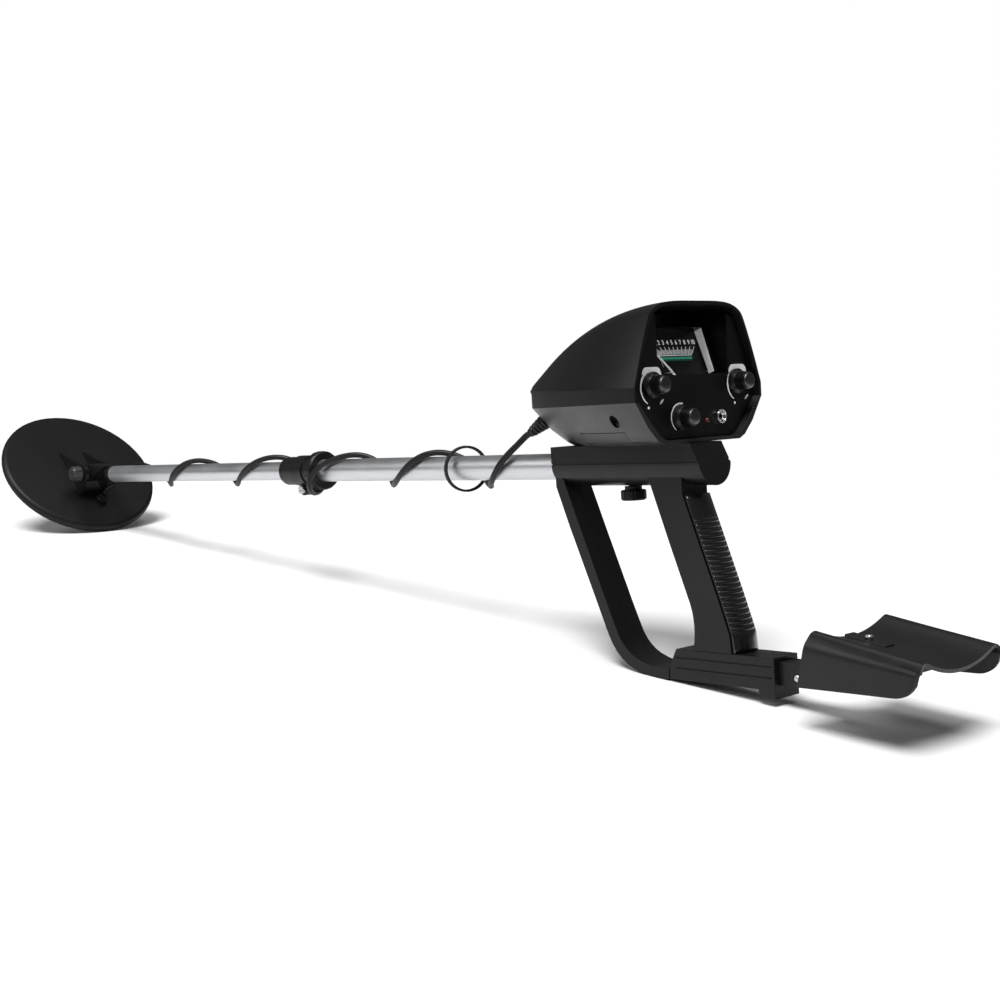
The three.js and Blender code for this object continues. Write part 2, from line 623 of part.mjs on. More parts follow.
function makeHousing(reliefSolid) {
  const upper = upperLoft(0, partingZ + gap / 2, housingRear)
    .subtract(upperLoft(housingWall, partingZ - 5, housingRear - 5));
  addPiece(stem, 'housing_upper', upper, blackPlastic);

  const lowerOuter = lowerLoft(0, housingRear, 0, partingZ);
  const lowerInner = lowerLoft(housingWall * 1.15, housingRear - 5, housingWall, partingZ + 3);
  const wallAt = [-153, 32];
  const boss = lowerOuter.intersect(rod('y', 6, 44, 70, wallAt, 16));
  const screwWell = rod('y', 4.2, 47.4, 80, wallAt, 16);
  const shankHole = rod('y', 1.5 + gap, 40, 50, wallAt, 10);
  const doorSlot = box([-156.4, 12, housingBottomZ - 1], [-99.6, 60, 24.6]);
  const speakerHoles = [];
  for (let i = -1; i <= 1; i++) {
    for (let j = -1; j <= 1; j++) {
      const place = [speakerPlace[0] + 7 * i, speakerPlace[1] + 7 * j];
      speakerHoles.push(rod('z', 1.6, housingBottomZ - 2, housingBottomZ + 6, place, 8));
    }
  }
  const shell = joined(lowerOuter.subtract(lowerInner), boss);
  const reliefSeat = bar(relief.inner.map((v, i) => v + (v - relief.base[i])), relief.base, 4 + gap);
  const lower = cut(shell, doorSlot, screwWell, shankHole, reliefSeat, ...speakerHoles);
  addPiece(stem, 'housing_lower', lower, blackPlastic);

  // the door keeps to the housing's own outside, so it is cut from the same shell
  const doorBlock = box([-156.4 + gap, 12 + gap, housingBottomZ - 1], [-99.6 - gap, 60, 24.6 - gap]);
  addPiece(stem, 'battery_door', lowerOuter.subtract(lowerInner).intersect(doorBlock), blackPlastic);

  const screw = joined(rod('y', 3.6, 47.4 + gap, 50.2, wallAt, 16), rod('y', 1.5, 41, 48, wallAt, 10));
  const slot = box([wallAt[0] - 4, 49.4, wallAt[1] - 0.5], [wallAt[0] + 4, 51, wallAt[1] + 0.5]);
  addPiece(stem, 'housing_screw', cut(screw, slot), steel);

  addPiece(stem, 'cable_strain_relief', reliefSolid, blackRubber);
}

function makePanel() {
  const inset = housingWall + gap + 0.5;
  const back = panelX + panelThickness;
  let panel = stemSlab(faceLoop(inset), panelX, back);
  panel = panel.subtract(box([panelX - 2, -windowHalfWidth, windowBottomZ], [back + 2, windowHalfWidth, 130]));
  for (const [, y, z] of knobAxes) panel = panel.subtract(rod('x', 4 + gap, panelX - 2, back + 2, [y, z], 16));
  panel = panel.subtract(rod('x', 2 + gap, panelX - 2, back + 2, ledPlace, 12));
  panel = panel.subtract(rod('x', 3.4 + gap, panelX - 2, back + 2, socketPlace, 16));
  addPiece(stem, 'control_panel', panel, blackPlastic);

  // the meter sits in a deep tub that is open to the user and closed above by the housing's crown
  const start = back + gap;
  const outer = box([start, -windowHalfWidth - 1.5, windowBottomZ - 3], [tubDepthX, windowHalfWidth + 1.5, 130]);
  const inner = box([start - 1, -windowHalfWidth, windowBottomZ - 1.4], [tubDepthX - 1.6, windowHalfWidth, 131]);
  const meterRoom = box([-174.5, -meterHalfWidth - 1, 40], [-150, meterHalfWidth + 1, 61]);
  const underCrown = upperLoft(housingWall + gap + 0.4, partingZ, housingRear + 2);
  addPiece(stem, 'meter_tub', cut(outer, inner, meterRoom).intersect(underCrown), blackPlastic);
}

function makeMeter() {
  const low = -needlePivotDrop - 3.4;
  const caseSolid = cut(
    box([1.2, -meterHalfWidth, low], [12.5, meterHalfWidth, meterHeight]),
    box([3, -meterHalfWidth + 1.6, low + 1.6], [10.9, meterHalfWidth - 1.6, meterHeight - 1.6]),
    rod('x', 6, 9, 20, [0, 4], 20),
    rod('x', 1.3, 0, 4, [0, -needlePivotDrop], 10));
  addPiece(meter, 'meter_case', caseSolid, blackPlastic);
  const plate = cut(
    box([0.1, -meterHalfWidth + 0.8, low + 0.4], [0.9, meterHalfWidth - 0.8, meterHeight - 0.8]),
    rod('x', 1.3, -1, 3, [0, -needlePivotDrop], 10));
  addPiece(meter, 'meter_scale', plate, glossPlastic);

  const coverLow = -1.5;
  const cover = cut(
    box([-8.4, -meterHalfWidth, coverLow], [-gap, meterHalfWidth, meterHeight]),
    box([-7.2, -meterHalfWidth + 1.3, coverLow - 2], [3, meterHalfWidth - 1.3, meterHeight - 1.3]));
  addPiece(meter, 'meter_window', cover, clearPlastic);

  const blade = sideSlabNeedle();
  addPiece(meter, 'meter_needle', blade, whitePlastic);
}

// A thin tapering pointer with a round hub, turned to its rest angle about its pivot.
function sideSlabNeedle() {
  const reach = 34;
  const front = -2;
  const back = -1.2;
  const outline = [[-0.9, 0], [0.9, 0], [0.35, reach], [-0.35, reach]];
  const turn = (y, z) => [
    y * Math.cos(needleRest) + z * Math.sin(needleRest),
    -needlePivotDrop - y * Math.sin(needleRest) + z * Math.cos(needleRest),
  ];
  const bladeSolid = stemSlab(outline.map(([y, z]) => turn(y, z)), front, back);
  const hub = rod('x', 2.2, front, back, [0, -needlePivotDrop], 16);
  const pin = rod('x', 0.9, front, 2.8, [0, -needlePivotDrop], 10);
  return joined(bladeSolid, hub, pin);
}

function makeControls() {
  const face = panelX;
  for (const [name, y, z] of knobAxes) {
    const start = face - gap;
    const end = face - knobHeight;
    const shaftEnd = face - 8;
    let knob = turned('x', [
      [0, end + 1.9], [knobTopRadius - 1, end + 1.9], [knobTopRadius, end + 2.8], [knobTopRadius + 0.7, start - 4],
      [knobSkirtRadius - 1, start - 3], [knobSkirtRadius, start - 2.2], [knobSkirtRadius, start], [0, start],
    ], [y, z], 28);
    for (let i = 0; i < 12; i++) {
      const a = (i * Math.PI) / 6;
      const reach = knobTopRadius + 0.9;
      const flute = rod('x', 0.7, end - 1, start - 4.2, [y + reach * Math.cos(a), z + reach * Math.sin(a)], 6);
      knob = knob.subtract(flute);
    }
    knob = knob.subtract(rod('x', 5 + gap, start - 1.9, start + 1, [y, z], 16));
    knob = knob.subtract(rod('x', shaftRadius + gap, shaftEnd - gap, start + 1, [y, z], 16));
    addPiece(stem, `${name}_knob`, knob, blackPlastic);

    const cap = turned('x', [[0, end + 1.6], [knobTopRadius - 0.9, end + 1.6], [knobTopRadius - 1.6, end + 0.6], [2.6, end + 0.1],
      [0, end]], [y, z], 24);
    addPiece(stem, `${name}_knob_cap`, cap, steel);

    const behind = face + panelThickness + gap;
    const pot = joined(rod('x', shaftRadius, shaftEnd, behind + 2, [y, z], 16), rod('x', 4, face - 1.6, behind + 1, [y, z], 16),
      rod('x', 5.4, behind, behind + 9, [y, z], 20));
    addPiece(stem, `${name}_potentiometer`, pot, steel);
  }
  const ledFace = face + panelThickness + gap;
  const led = joined(turned('x', [[0, face - 1.4], [1.4, face - 1], [2, face], [2, ledFace + 1], [0, ledFace + 1]], ledPlace, 16),
    rod('x', 2.8, ledFace, ledFace + 3, ledPlace, 16));
  addPiece(stem, 'low_battery_led', led, redLens);

  const sleeve = cut(
    joined(rod('x', 3.4, face - 0.6, ledFace + 1, socketPlace, 20), rod('x', 5.2, ledFace, ledFace + 14, socketPlace, 20)),
    rod('x', 1.8, face - 2, ledFace + 12, socketPlace, 16));
  addPiece(stem, 'earphone_socket', sleeve, steel);
  const nut = cut(rod('x', 4.9, face - 2.2, face - gap, socketPlace, 20), rod('x', 3.4 + gap, face - 4, face + 1, socketPlace, 20));
  addPiece(stem, 'earphone_socket_nut', nut, steel);
}

function makeElectronics() {
  const boardZ = 50;
  addPiece(stem, 'circuit_board', box([-138, -30, boardZ], [-80, 30, boardZ + 1.6]), boardGreen);
  const speaker = turned('z', [[0, 18.8], [14.5, 18.8], [14.5, 21], [8, 26], [8, 30], [0, 30]], speakerPlace, 28);
  addPiece(stem, 'speaker', speaker, blackPlastic);
  const snapX = batteryHigh[0];
  const battery = joined(box(batteryLow, batteryHigh),
    rod('x', 2.8, snapX - 1, snapX + 2.4, [9.4, 27.2], 12), rod('x', 3.2, snapX - 1, snapX + 2.4, [22, 27.2], 12));
  addPiece(stem, 'battery', battery, steel);
}

// ---------- handle ----------
// Side view of the two legs and the bar between them; their tops end inside the rail.
function legOutline() {
  const outline = new THREE.Shape();
  outline.moveTo(handleFront, 0);
  outline.lineTo(handleFront - 0.2, -14);
  outline.lineTo(-64.5, -43);
  outline.lineTo(-90, -101.6);
  outline.lineTo(-97.5, -119);
  outline.bezierCurveTo(-103.2, -131.5, -112.5, -139.6, heelEndX, heelEndZ);
  outline.lineTo(heelX, handleBarBottom);
  outline.lineTo(baseFront + gap, handleBarBottom);
  outline.lineTo(baseFront + gap, handleLegFoot);
  outline.lineTo(-137, handleLegFoot);
  outline.bezierCurveTo(-120, -134.4, -113, -128.5, -107.2, -119);
  outline.lineTo(-99.8, -102.5);
  outline.lineTo(-75.5, -45);
  outline.lineTo(-59.4, -6);
  outline.lineTo(-141.8, -6);
  outline.lineTo(-159.3, -53.4);
  outline.lineTo(-174.4, -92.7);
  outline.bezierCurveTo(-177.6, -102, -178, -112, -175.4, baseTopZ + gap);
  outline.lineTo(-207.8, baseTopZ + gap);
  outline.lineTo(-206.8, -112);
  outline.lineTo(-198.6, -88.6);
  outline.lineTo(-172.4, -19.5);
  outline.lineTo(-172.4, 0);
  outline.closePath();
  return outline;
}

const thumbX = -116.5;
// place along and up, and the half width of the handle there
const handleScrews = [[-60, 12.2, railHalfWidth], [-174, 12.2, railHalfWidth], [-74, -55, handleHalfWidth],
  [-168, -60, handleHalfWidth]];

// Half of the rail: a square top over a round underside, its rear end leaning back down to the crease.
function railHalf(side) {
  const section = [[side * handleSplit, handleTopZ], [side * railHalfWidth, handleTopZ], [side * railHalfWidth, railCreaseZ]];
  const steps = 10;
  for (let i = 1; i < steps; i++) {
    const a = (i * Math.PI) / (2 * steps);
    section.push([side * railHalfWidth * Math.cos(a), railCreaseZ - railHalfWidth * Math.sin(a)]);
  }
  section.push([side * handleSplit, railCreaseZ - railHalfWidth]);
  const ends = new THREE.Shape();
  ends.moveTo(handleFront, handleTopZ + 1);
  ends.lineTo(handleFront, railCreaseZ - railHalfWidth - 1);
  ends.lineTo(handleRear - 8.6, railCreaseZ - railHalfWidth - 1);
  ends.lineTo(handleRear - 7.3, railCreaseZ - 2);
  ends.lineTo(handleRear + 0.5, handleTopZ + 1);
  ends.closePath();
  return stemSlab(section, handleRear - 12, handleFront + 1).intersect(sideSlab(ends, -20, 20, 0, 1));
}

function handleHalf(side) {
  const low = side > 0 ? handleSplit : -handleHalfWidth;
  const high = side > 0 ? handleHalfWidth : -handleSplit;
  let body = joined(sideSlab(legOutline(), low, high, 0, 6), railHalf(side));
  const groove = stemSlab([
    [side * (railHalfWidth - 0.8), railCreaseZ - 0.4], [side * (railHalfWidth + 1), railCreaseZ - 1],
    [side * (railHalfWidth + 1), railCreaseZ + 0.9], [side * (railHalfWidth - 0.8), railCreaseZ + 0.5]],
  handleRear - 10, handleFront + 2);
  const tubeBore = rod('x', upperTubeRadius + gap, upperTubeRear - 2, 0, [0, 0], 32);
  const screwBore = rod('z', 3 + gap, -20, 0, [thumbX, 0], 16);
  body = cut(body, groove, tubeBore, screwBore);
  for (const [x, z, halfWidth] of handleScrews) {
    const shankBore = rod('y', 1.3 + gap, side > 0 ? 0 : 2 - halfWidth, side > 0 ? 6 + gap : 0, [x, z], 10);
    body = body.subtract(shankBore);
    if (side < 0) body = body.subtract(rod('y', 2.4 + gap, -halfWidth - 1, 2.8 - halfWidth, [x, z], 14));
  }
  // a short tenon reaches into the base
  const tenon = side > 0
    ? box([baseFront - 14, handleSplit, -143], [baseFront + 1, 8, -139.8])
    : box([baseFront - 14, -8, -143], [baseFront + 1, -handleSplit, -139.8]);
  return joined(body, tenon);
}

function makeHandle() {
  addPiece(stem, 'handle_left', handleHalf(1), blackPlastic);
  addPiece(stem, 'handle_right', handleHalf(-1), blackPlastic);
  handleScrews.forEach(([x, z, halfWidth], i) => {
    const head = rod('y', 2.4, 0.4 - halfWidth, 2.5 - halfWidth, [x, z], 14);
    const screw = joined(head, rod('y', 1.3, 2.4 - halfWidth, 6, [x, z], 10));
    addPiece(stem, `handle_screw_${i + 1}`, screw, steel);
  });

  const railUnder = railCreaseZ - railHalfWidth;
  const knobTop = -16.9;
  let knob = turned('z', [[0, -24.2], [8, -24.2], [9, -23.2], [9, knobTop - 0.8], [8.2, knobTop], [6.1, knobTop],
    [6.1, railUnder - gap], [3, railUnder - gap], [3, -upperTubeRadius - 0.6], [0, -upperTubeRadius - 0.6]], [thumbX, 0], 28);
  for (let i = 0; i < 8; i++) {
    const a = (i * Math.PI) / 4;
    knob = knob.subtract(rod('z', 1.3, -25, knobTop + 0.1, [thumbX + 9.6 * Math.cos(a), 9.6 * Math.sin(a)], 8));
  }
  addPiece(stem, 'stem_thumb_screw', knob, blackPlastic);
}

// The soft ribbed back of the grip, seen as an arc bulging out behind the two halves.
function makeGrip() {
  const top = [-173, -19.8];
  const knee = [-198.9, -88.6];
  const shin = [-207.1, -112];
  const foot = [-208.1, baseTopZ + gap];
  const bulge = 4.2;
  const halfWidth = 12.3;
  const ribStart = 17;
  const ribEnd = 97;
  const ribPitch = 3.6;
  const path = [top, knee, shin, foot];
  const lengths = path.slice(1).map(([x, z], i) => Math.hypot(x - path[i][0], z - path[i][1]));
  const total = lengths.reduce((sum, v) => sum + v);
  const place = (d) => {
    let i = 0;
    let rest = d;
    while (i < lengths.length - 1 && rest > lengths[i]) rest -= lengths[i++];
    const [a, b] = [path[i], path[i + 1]];
    const t = rest / lengths[i];
    return [a[0] + (b[0] - a[0]) * t - 0.3, a[1] + (b[1] - a[1]) * t];
  };
  const ring = (d, proud) => {
    const [x, z] = place(d);
    const points = [];
    for (let i = 0; i <= 8; i++) {
      const y = halfWidth * (1 - i / 4);
      const out = bulge * (1 - (y / halfWidth) ** 2) + 1.8 + proud * Math.sqrt(Math.max(0, 1 - (y / halfWidth) ** 4));
      points.push([x - out, y, z]);
    }
    points.push([x, -halfWidth, z], [x, halfWidth, z]);
    return points;
  };
  const rings = [ring(0, 0), ring(ribStart - 1, 0)];
  for (let d = ribStart; d < ribEnd; d += ribPitch) rings.push(ring(d, -0.7), ring(d + 0.9, 0.5), ring(d + 2.4, 0.5));
  rings.push(ring(ribEnd + 1, -0.2), ring(total, 0));
  addPiece(stem, 'grip_insert', loft(rings, 0, 1), blackRubber);
}

// ---------- base, arm rest ----------
function makeBase() {
  const outline = [[baseFront, handleBarBottom], [baseFront, handleLegFoot + 0.6], [-159.4, baseTopZ], [baseRear, baseTopZ],
    [baseRear, footBottomZ], [footFront - 4, footBottomZ], [footFront, footBottomZ + 3], [footFront, handleBarBottom]];
  let base = sideSlab(outline, -baseHalfWidth, baseHalfWidth, 0);
  const pocket = box([baseRear - 1, -tongueHalfWidth - gap, tongueBottomZ - gap],
    [tongueInnerEnd + 18, tongueHalfWidth + gap, tongueTopZ + gap]);
  const tenonPocket = box([baseFront - 14.4, -8 - gap, -143 - gap], [baseFront + 2, 8 + gap, -139.8 + gap]);
  base = cut(base, pocket, tenonPocket);
  for (const z of [-130, -137.2]) {
    for (const side of [1, -1]) {
      const groove = stemSlab([
        [side * (baseHalfWidth - 0.7), z - 0.3], [side * (baseHalfWidth + 1), z - 0.7],
        [side * (baseHalfWidth + 1), z + 0.7], [side * (baseHalfWidth - 0.7), z + 0.3]], baseRear + 2, baseFront - 6);
      base = base.subtract(groove);
    }
  }
  addPiece(stem, 'base_block', base, blackPlastic);
}

const cupSlope = (cupRearZ - cupFrontZ) / (cupRear - cupFront);
const cupScrewX = -306;
const cupCentreZ = (x) => cupFrontZ - cupDepth + cupSlope * (x - cupFront);

// One arm-cup cross-section: trough arc, raised edges, outer slope and skirts. The sheet has one even wall.
function cupRing(rear) {
  const x = rear ? cupRear : cupFront;
  const edgeZ = rear ? cupRearZ : cupFrontZ;
  const ridgeZ = edgeZ - (rear ? 4.6 : 7.6);
  const upper = [];
  const steps = 8;
  for (let i = -steps; i <= steps; i++) {
    const y = (cupHalfWidth * i) / steps;
    upper.push([x, -y, edgeZ - cupDepth * (1 - (y / cupHalfWidth) ** 2)]);
  }
  const ridgeX = rear ? x - 1 : x + 2.6;
  const lowX = rear ? x - 1 : x + 8;
  const out = cupRidgeHalfWidth;
  const inner = out - cupWall;
  const left = [[ridgeX, out, ridgeZ], [lowX, out + 0.8, skirtBottomZ]];
  const leftInner = [[lowX, inner + 0.8, skirtBottomZ], [ridgeX, inner, ridgeZ - 1.4]];
  const flip = ([px, py, pz]) => [px, -py, pz];
  const under = upper.map(([px, py, pz]) => {
    const pull = Math.abs(py) > cupHalfWidth - 1 ? 0.94 : 1;
    return [px, py * pull, pz - cupWall - (pull < 1 ? 1.2 : 0)];
  }).reverse();
  return [...upper, ...left.map(flip), ...leftInner.map(flip), ...under, ...leftInner.slice().reverse(), ...left.slice().reverse()];
}

function makeArmRest() {
  let cup = loft([cupRing(false), cupRing(true)], 1, 2);
  // rounded lower rear corners of the skirts
  const corner = new THREE.Shape();
  const r = 17;
  corner.moveTo(cupRear - 5, skirtBottomZ - 2);
  corner.lineTo(cupRear + r, skirtBottomZ - 2);
  corner.lineTo(cupRear + r, skirtBottomZ);
  corner.absarc(cupRear + r - 0.6, skirtBottomZ + r, r, -Math.PI / 2, -Math.PI, true);
  corner.lineTo(cupRear - 5, skirtBottomZ + r);
  corner.closePath();
  cup = cut(cup, sideSlab(corner, -60, 60, 0, 6), rod('z', 2.2 + gap, -140, -90, [cupScrewX, 0], 14));
  addPiece(stem, 'arm_cup', cup, blackPlastic);

  const seat = (x) => cupCentreZ(x) - cupWall - gap;
  const tongueOutline = [[tongueInnerEnd, tongueBottomZ], [tongueInnerEnd, tongueTopZ], [-266, tongueTopZ],
    [-287, seat(-292.8) + 0.4], [-292.8, seat(-292.8)], [-346, seat(-346)], [-346, seat(-346) - 3.4], [-300, -136], [-282, tongueBottomZ]];
  let tongue = sideSlab(tongueOutline, -tongueHalfWidth, tongueHalfWidth, 0);
  tongue = cut(tongue, rod('z', 1.6 + gap, -128, -100, [cupScrewX, 0], 12), rod('y', 2.4 + gap, 5.6, 20, [-256, -136.5], 12));
  addPiece(stem, 'arm_rest_tongue', tongue, blackPlastic);

  const button = turned('y', [[0, 5.9], [2.4, 5.9], [2.4, 8.4], [1.4, 9.3], [0, 9.6]], [-256, -136.5], 14);
  addPiece(stem, 'tongue_stud', button, steel);

  const plateLow = cupCentreZ(cupScrewX) + gap;
  const plateTilt = -Math.atan(cupSlope);
  const lift = 0.5;
  const plate = cut(
    toSolid(placed(placed(new THREE.BoxGeometry(30, 10, 2.6), [0, 0, 1.3 + lift], [0, plateTilt, 0]), [cupScrewX, 0, plateLow])),
    rod('z', 1.6 + gap, -125, -90, [cupScrewX, 0], 12));
  addPiece(stem, 'cup_clamp_plate', plate, blackPlastic);
  const head = plateLow + 3.1 + gap + 0.4;
  const screw = turned('z', [[0, -124], [1.6, -124], [1.6, head], [3, head], [2.6, head + 1.6], [0, head + 2]], [cupScrewX, 0], 14);
  addPiece(stem, 'cup_clamp_screw', screw, steel);
}

// ---------- assembly ----------
makeCoil();
makeLowerStem();
makeStemLock();
const reliefSolid = makeCable();
makeHousing(reliefSolid);
makePanel();
makeMeter();
makeControls();
makeElectronics();
makeHandle();
makeGrip();
makeBase();
makeArmRest();

export default detector;
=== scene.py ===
import bpy
import json
import math
import numpy as np
from mathutils import Euler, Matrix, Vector


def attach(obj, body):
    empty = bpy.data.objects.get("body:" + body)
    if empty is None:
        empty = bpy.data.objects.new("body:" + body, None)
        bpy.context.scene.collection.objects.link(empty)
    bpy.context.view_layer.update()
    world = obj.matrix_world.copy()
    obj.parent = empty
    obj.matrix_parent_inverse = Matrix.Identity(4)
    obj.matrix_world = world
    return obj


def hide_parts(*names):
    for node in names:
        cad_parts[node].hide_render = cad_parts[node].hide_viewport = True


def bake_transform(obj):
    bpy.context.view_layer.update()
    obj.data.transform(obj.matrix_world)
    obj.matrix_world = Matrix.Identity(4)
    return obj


# A hobby metal detector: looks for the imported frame, in metres.
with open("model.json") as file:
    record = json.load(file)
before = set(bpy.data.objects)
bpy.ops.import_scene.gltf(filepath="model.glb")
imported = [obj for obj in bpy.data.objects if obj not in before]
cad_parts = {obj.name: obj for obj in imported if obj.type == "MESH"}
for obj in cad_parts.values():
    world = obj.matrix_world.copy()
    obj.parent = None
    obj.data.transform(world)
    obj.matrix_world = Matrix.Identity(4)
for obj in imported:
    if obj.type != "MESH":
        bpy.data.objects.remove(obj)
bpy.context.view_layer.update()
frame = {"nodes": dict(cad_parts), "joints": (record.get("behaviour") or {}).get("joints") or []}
nodes = frame["nodes"]
jointOf = {joint["name"]: joint for joint in frame["joints"]}

# ---- places: the stem and the meter each have their own axes ----

layout = {
    "pivot": (668.0, 2.0),      # coil pivot along and above the stem axis, mm
    "meter": (-166.5, 61.0),    # lower edge of the meter's dial, likewise
    "meterTilt": 18.0,          # how far the dial leans from square to the stem, degrees
}

stemForward = np.array(jointOf["stem_extend"]["axis"])
toLeft = np.array([0.0, 1.0, 0.0])
stemUp = np.cross(stemForward, toLeft)
coilPivot = np.array(jointOf["coil_tilt"]["pos_m"])
stemOrigin = coilPivot - (stemForward * layout["pivot"][0] + stemUp * layout["pivot"][1]) / 1000

lean = math.radians(layout["meterTilt"])
meterForward = stemForward * math.cos(lean) - stemUp * math.sin(lean)
meterUp = stemForward * math.sin(lean) + stemUp * math.cos(lean)
meterOrigin = stemOrigin + (stemForward * layout["meter"][0] + stemUp * layout["meter"][1]) / 1000


def placed(points, origin, forward, up):
    # millimetres forward, to the left and up from an origin become points in metres
    p = np.asarray(points, float) / 1000
    return origin + p[..., 0:1] * forward + p[..., 1:2] * toLeft + p[..., 2:3] * up


def onStem(points):
    return placed(points, stemOrigin, stemForward, stemUp)


def onMeter(points):
    return placed(points, meterOrigin, meterForward, meterUp)


# ---- camera ----

cameraSetup = {
    "place": (-0.69159, 0.79020, 0.26469),
    "turn": (82.2277, -0.8205, -132.8860),
    "lens": 55.375,
    "shift": (-0.0118, -0.0035),
}


def makeCamera(setup):
    camera = bpy.data.objects.new("camera", bpy.data.cameras.new("camera"))
    bpy.context.scene.collection.objects.link(camera)
    camera.location = setup["place"]
    camera.rotation_euler = Euler([math.radians(a) for a in setup["turn"]])
    camera.data.lens = setup["lens"]
    camera.data.sensor_width = 36
    camera.data.shift_x, camera.data.shift_y = setup["shift"]
    camera.data.clip_start, camera.data.clip_end = 0.01, 30
    bpy.context.scene.camera = camera


makeCamera(cameraSetup)
print("camera ready")

# ---- making meshes ----


def newObject(name, points, faces, smooth=True):
    mesh = bpy.data.meshes.new(name)
    mesh.from_pydata(np.asarray(points).reshape(-1, 3).tolist(), [], faces)
    mesh.update()
    mesh.polygons.foreach_set("use_smooth", np.full(len(mesh.polygons), smooth))
    piece = bpy.data.objects.new(name, mesh)
    bpy.context.scene.collection.objects.link(piece)
    return piece


def gridFaces(rows, columns, wrap, flip):
    # quads between neighbouring rows of a grid, joined round when it wraps
    r, c = np.meshgrid(np.arange(rows - 1), np.arange(columns if wrap else columns - 1), indexing="ij")
    n = (c + 1) % columns
    quads = np.stack([r * columns + c, r * columns + n, (r + 1) * columns + n, (r + 1) * columns + c], -1)
    quads = quads.reshape(-1, 4)
    return (quads[:, ::-1] if flip else quads).tolist()


def surface(name, grid, wrap=False, capEnds=False, flip=False, smooth=True):
    # a grid of points as a mesh, open, joined round or closed at its ends
    rows, columns = grid.shape[:2]
    points = grid.reshape(-1, 3)
    faces = gridFaces(rows, columns, wrap, flip)
    if capEnds:
        # each end is closed by a fan from its middle
        points = np.vstack([points, grid[0].mean(0), grid[-1].mean(0)])
        c = np.arange(columns)
        n = (c + 1) % columns
        last = columns * (rows - 1)
        near = np.stack([np.full(columns, rows * columns), n, c], -1)
        far = np.stack([np.full(columns, rows * columns + 1), last + c, last + n], -1)
        fans = np.vstack([near, far])
        faces += (fans[:, ::-1] if flip else fans).tolist()
    return newObject(name, points, faces, smooth)


def revolved(profile, segments):
    # a profile of radius and distance carried round the x axis
    profile = np.asarray(profile, float)
    a = np.linspace(0, 2 * math.pi, segments, endpoint=False)
    x = np.repeat(profile[:, 1:2], segments, 1)
    y = profile[:, 0:1] * np.cos(a)
    z = profile[:, 0:1] * np.sin(a)
    return np.stack([x, y, z], -1)


def addModifier(piece, kind, **values):
    modifier = piece.modifiers.new(kind.title(), kind)
    for key, value in values.items():
        setattr(modifier, key, value)
    return modifier


def joinSeams(piece):
    # points that share a place, at poles and along closing seams, become one
    addModifier(piece, "WELD", merge_threshold=0.000002)


def softEdges(piece, width, angle=32, segments=3):
    addModifier(piece, "BEVEL", width=width, segments=segments, limit_method="ANGLE",
                angle_limit=math.radians(angle), use_clamp_overlap=True)
    addModifier(piece, "WEIGHTED_NORMAL", weight=100, keep_sharp=False)


def finishNode(name, material, edge, segments):
    # a CAD node's loose triangles are joined, its edges eased, and its curves shaded smooth
    node = nodes[name]
    node.data.polygons.foreach_set("use_smooth", np.full(len(node.data.polygons), True))
    joinSeams(node)
    softEdges(node, edge, segments=segments)
    node.data.materials.clear()
    node.data.materials.append(material)


# ---- finishes ----


def newMaterial(name):
    material = bpy.data.materials.new(name)
    material.use_nodes = True
    tree = material.node_tree
    return material, tree, tree.nodes["Principled BSDF"]


def objectPattern(tree, scale=(1, 1, 1), turn=0.0):
    coords = tree.nodes.new("ShaderNodeTexCoord")
    mapping = tree.nodes.new("ShaderNodeMapping")
    mapping.inputs["Rotation"].default_value = (0, turn, 0)
    mapping.inputs["Scale"].default_value = scale
    tree.links.new(coords.outputs["Object"], mapping.inputs["Vector"])
    return mapping.outputs["Vector"]


def noise(tree, vector, scale, detail=3, roughness=0.5):
    texture = tree.nodes.new("ShaderNodeTexNoise")
    texture.inputs["Scale"].default_value = scale
    texture.inputs["Detail"].default_value = detail
    texture.inputs["Roughness"].default_value = roughness
    tree.links.new(vector, texture.inputs["Vector"])
    return texture.outputs["Fac"]


def spread(tree, value, low, high):
    # brings a 0.3 to 0.7 noise to a wanted range
    ranged = tree.nodes.new("ShaderNodeMapRange")
    ranged.inputs["From Min"].default_value = 0.3
    ranged.inputs["From Max"].default_value = 0.7
    ranged.inputs["To Min"].default_value = low
    ranged.inputs["To Max"].default_value = high
    tree.links.new(value, ranged.inputs["Value"])
    return ranged.outputs["Result"]


def mixColours(tree, factor, first, second):
    mix = tree.nodes.new("ShaderNodeMix")
    mix.data_type = "RGBA"
    mix.inputs["A"].default_value = (*first, 1)
    mix.inputs["B"].default_value = (*second, 1)
    tree.links.new(factor, mix.inputs["Factor"])
    return mix.outputs["Result"]


def addBump(tree, shader, height, strength, distance):
    bump = tree.nodes.new("ShaderNodeBump")
    bump.inputs["Strength"].default_value = strength
    bump.inputs["Distance"].default_value = distance
    tree.links.new(height, bump.inputs["Height"])
    tree.links.new(bump.outputs["Normal"], shader.inputs["Normal"])


def moulded(name, colour, rough, grain, depth, strength, specular=0.5, paintedGlow=0.0):
    # moulded plastic: fine spark-eroded grain, cloudy sheen and a slight change of shade; where a glow is
    # given it is painted light
    material, tree, shader = newMaterial(name)
    place = objectPattern(tree)
    broad = noise(tree, place, 14.0, 4, 0.6)
    paler = tuple(min(1.0, v * 1.5 + 0.002) for v in colour)
    tree.links.new(mixColours(tree, spread(tree, broad, 0, 1), colour, paler), shader.inputs["Base Color"])
    tree.links.new(spread(tree, noise(tree, place, 46.0, 5, 0.65), *rough), shader.inputs["Roughness"])
    addBump(tree, shader, noise(tree, place, grain, 2), strength, depth)
    shader.inputs["Specular IOR Level"].default_value = specular
    if paintedGlow:
        # painted light: a little glow keeps a print readable at the bottom of its deep recess, standing in
        # for the light the recess lacks
        shader.inputs["Emission Color"].default_value = (*colour, 1)
        shader.inputs["Emission Strength"].default_value = paintedGlow
    return material


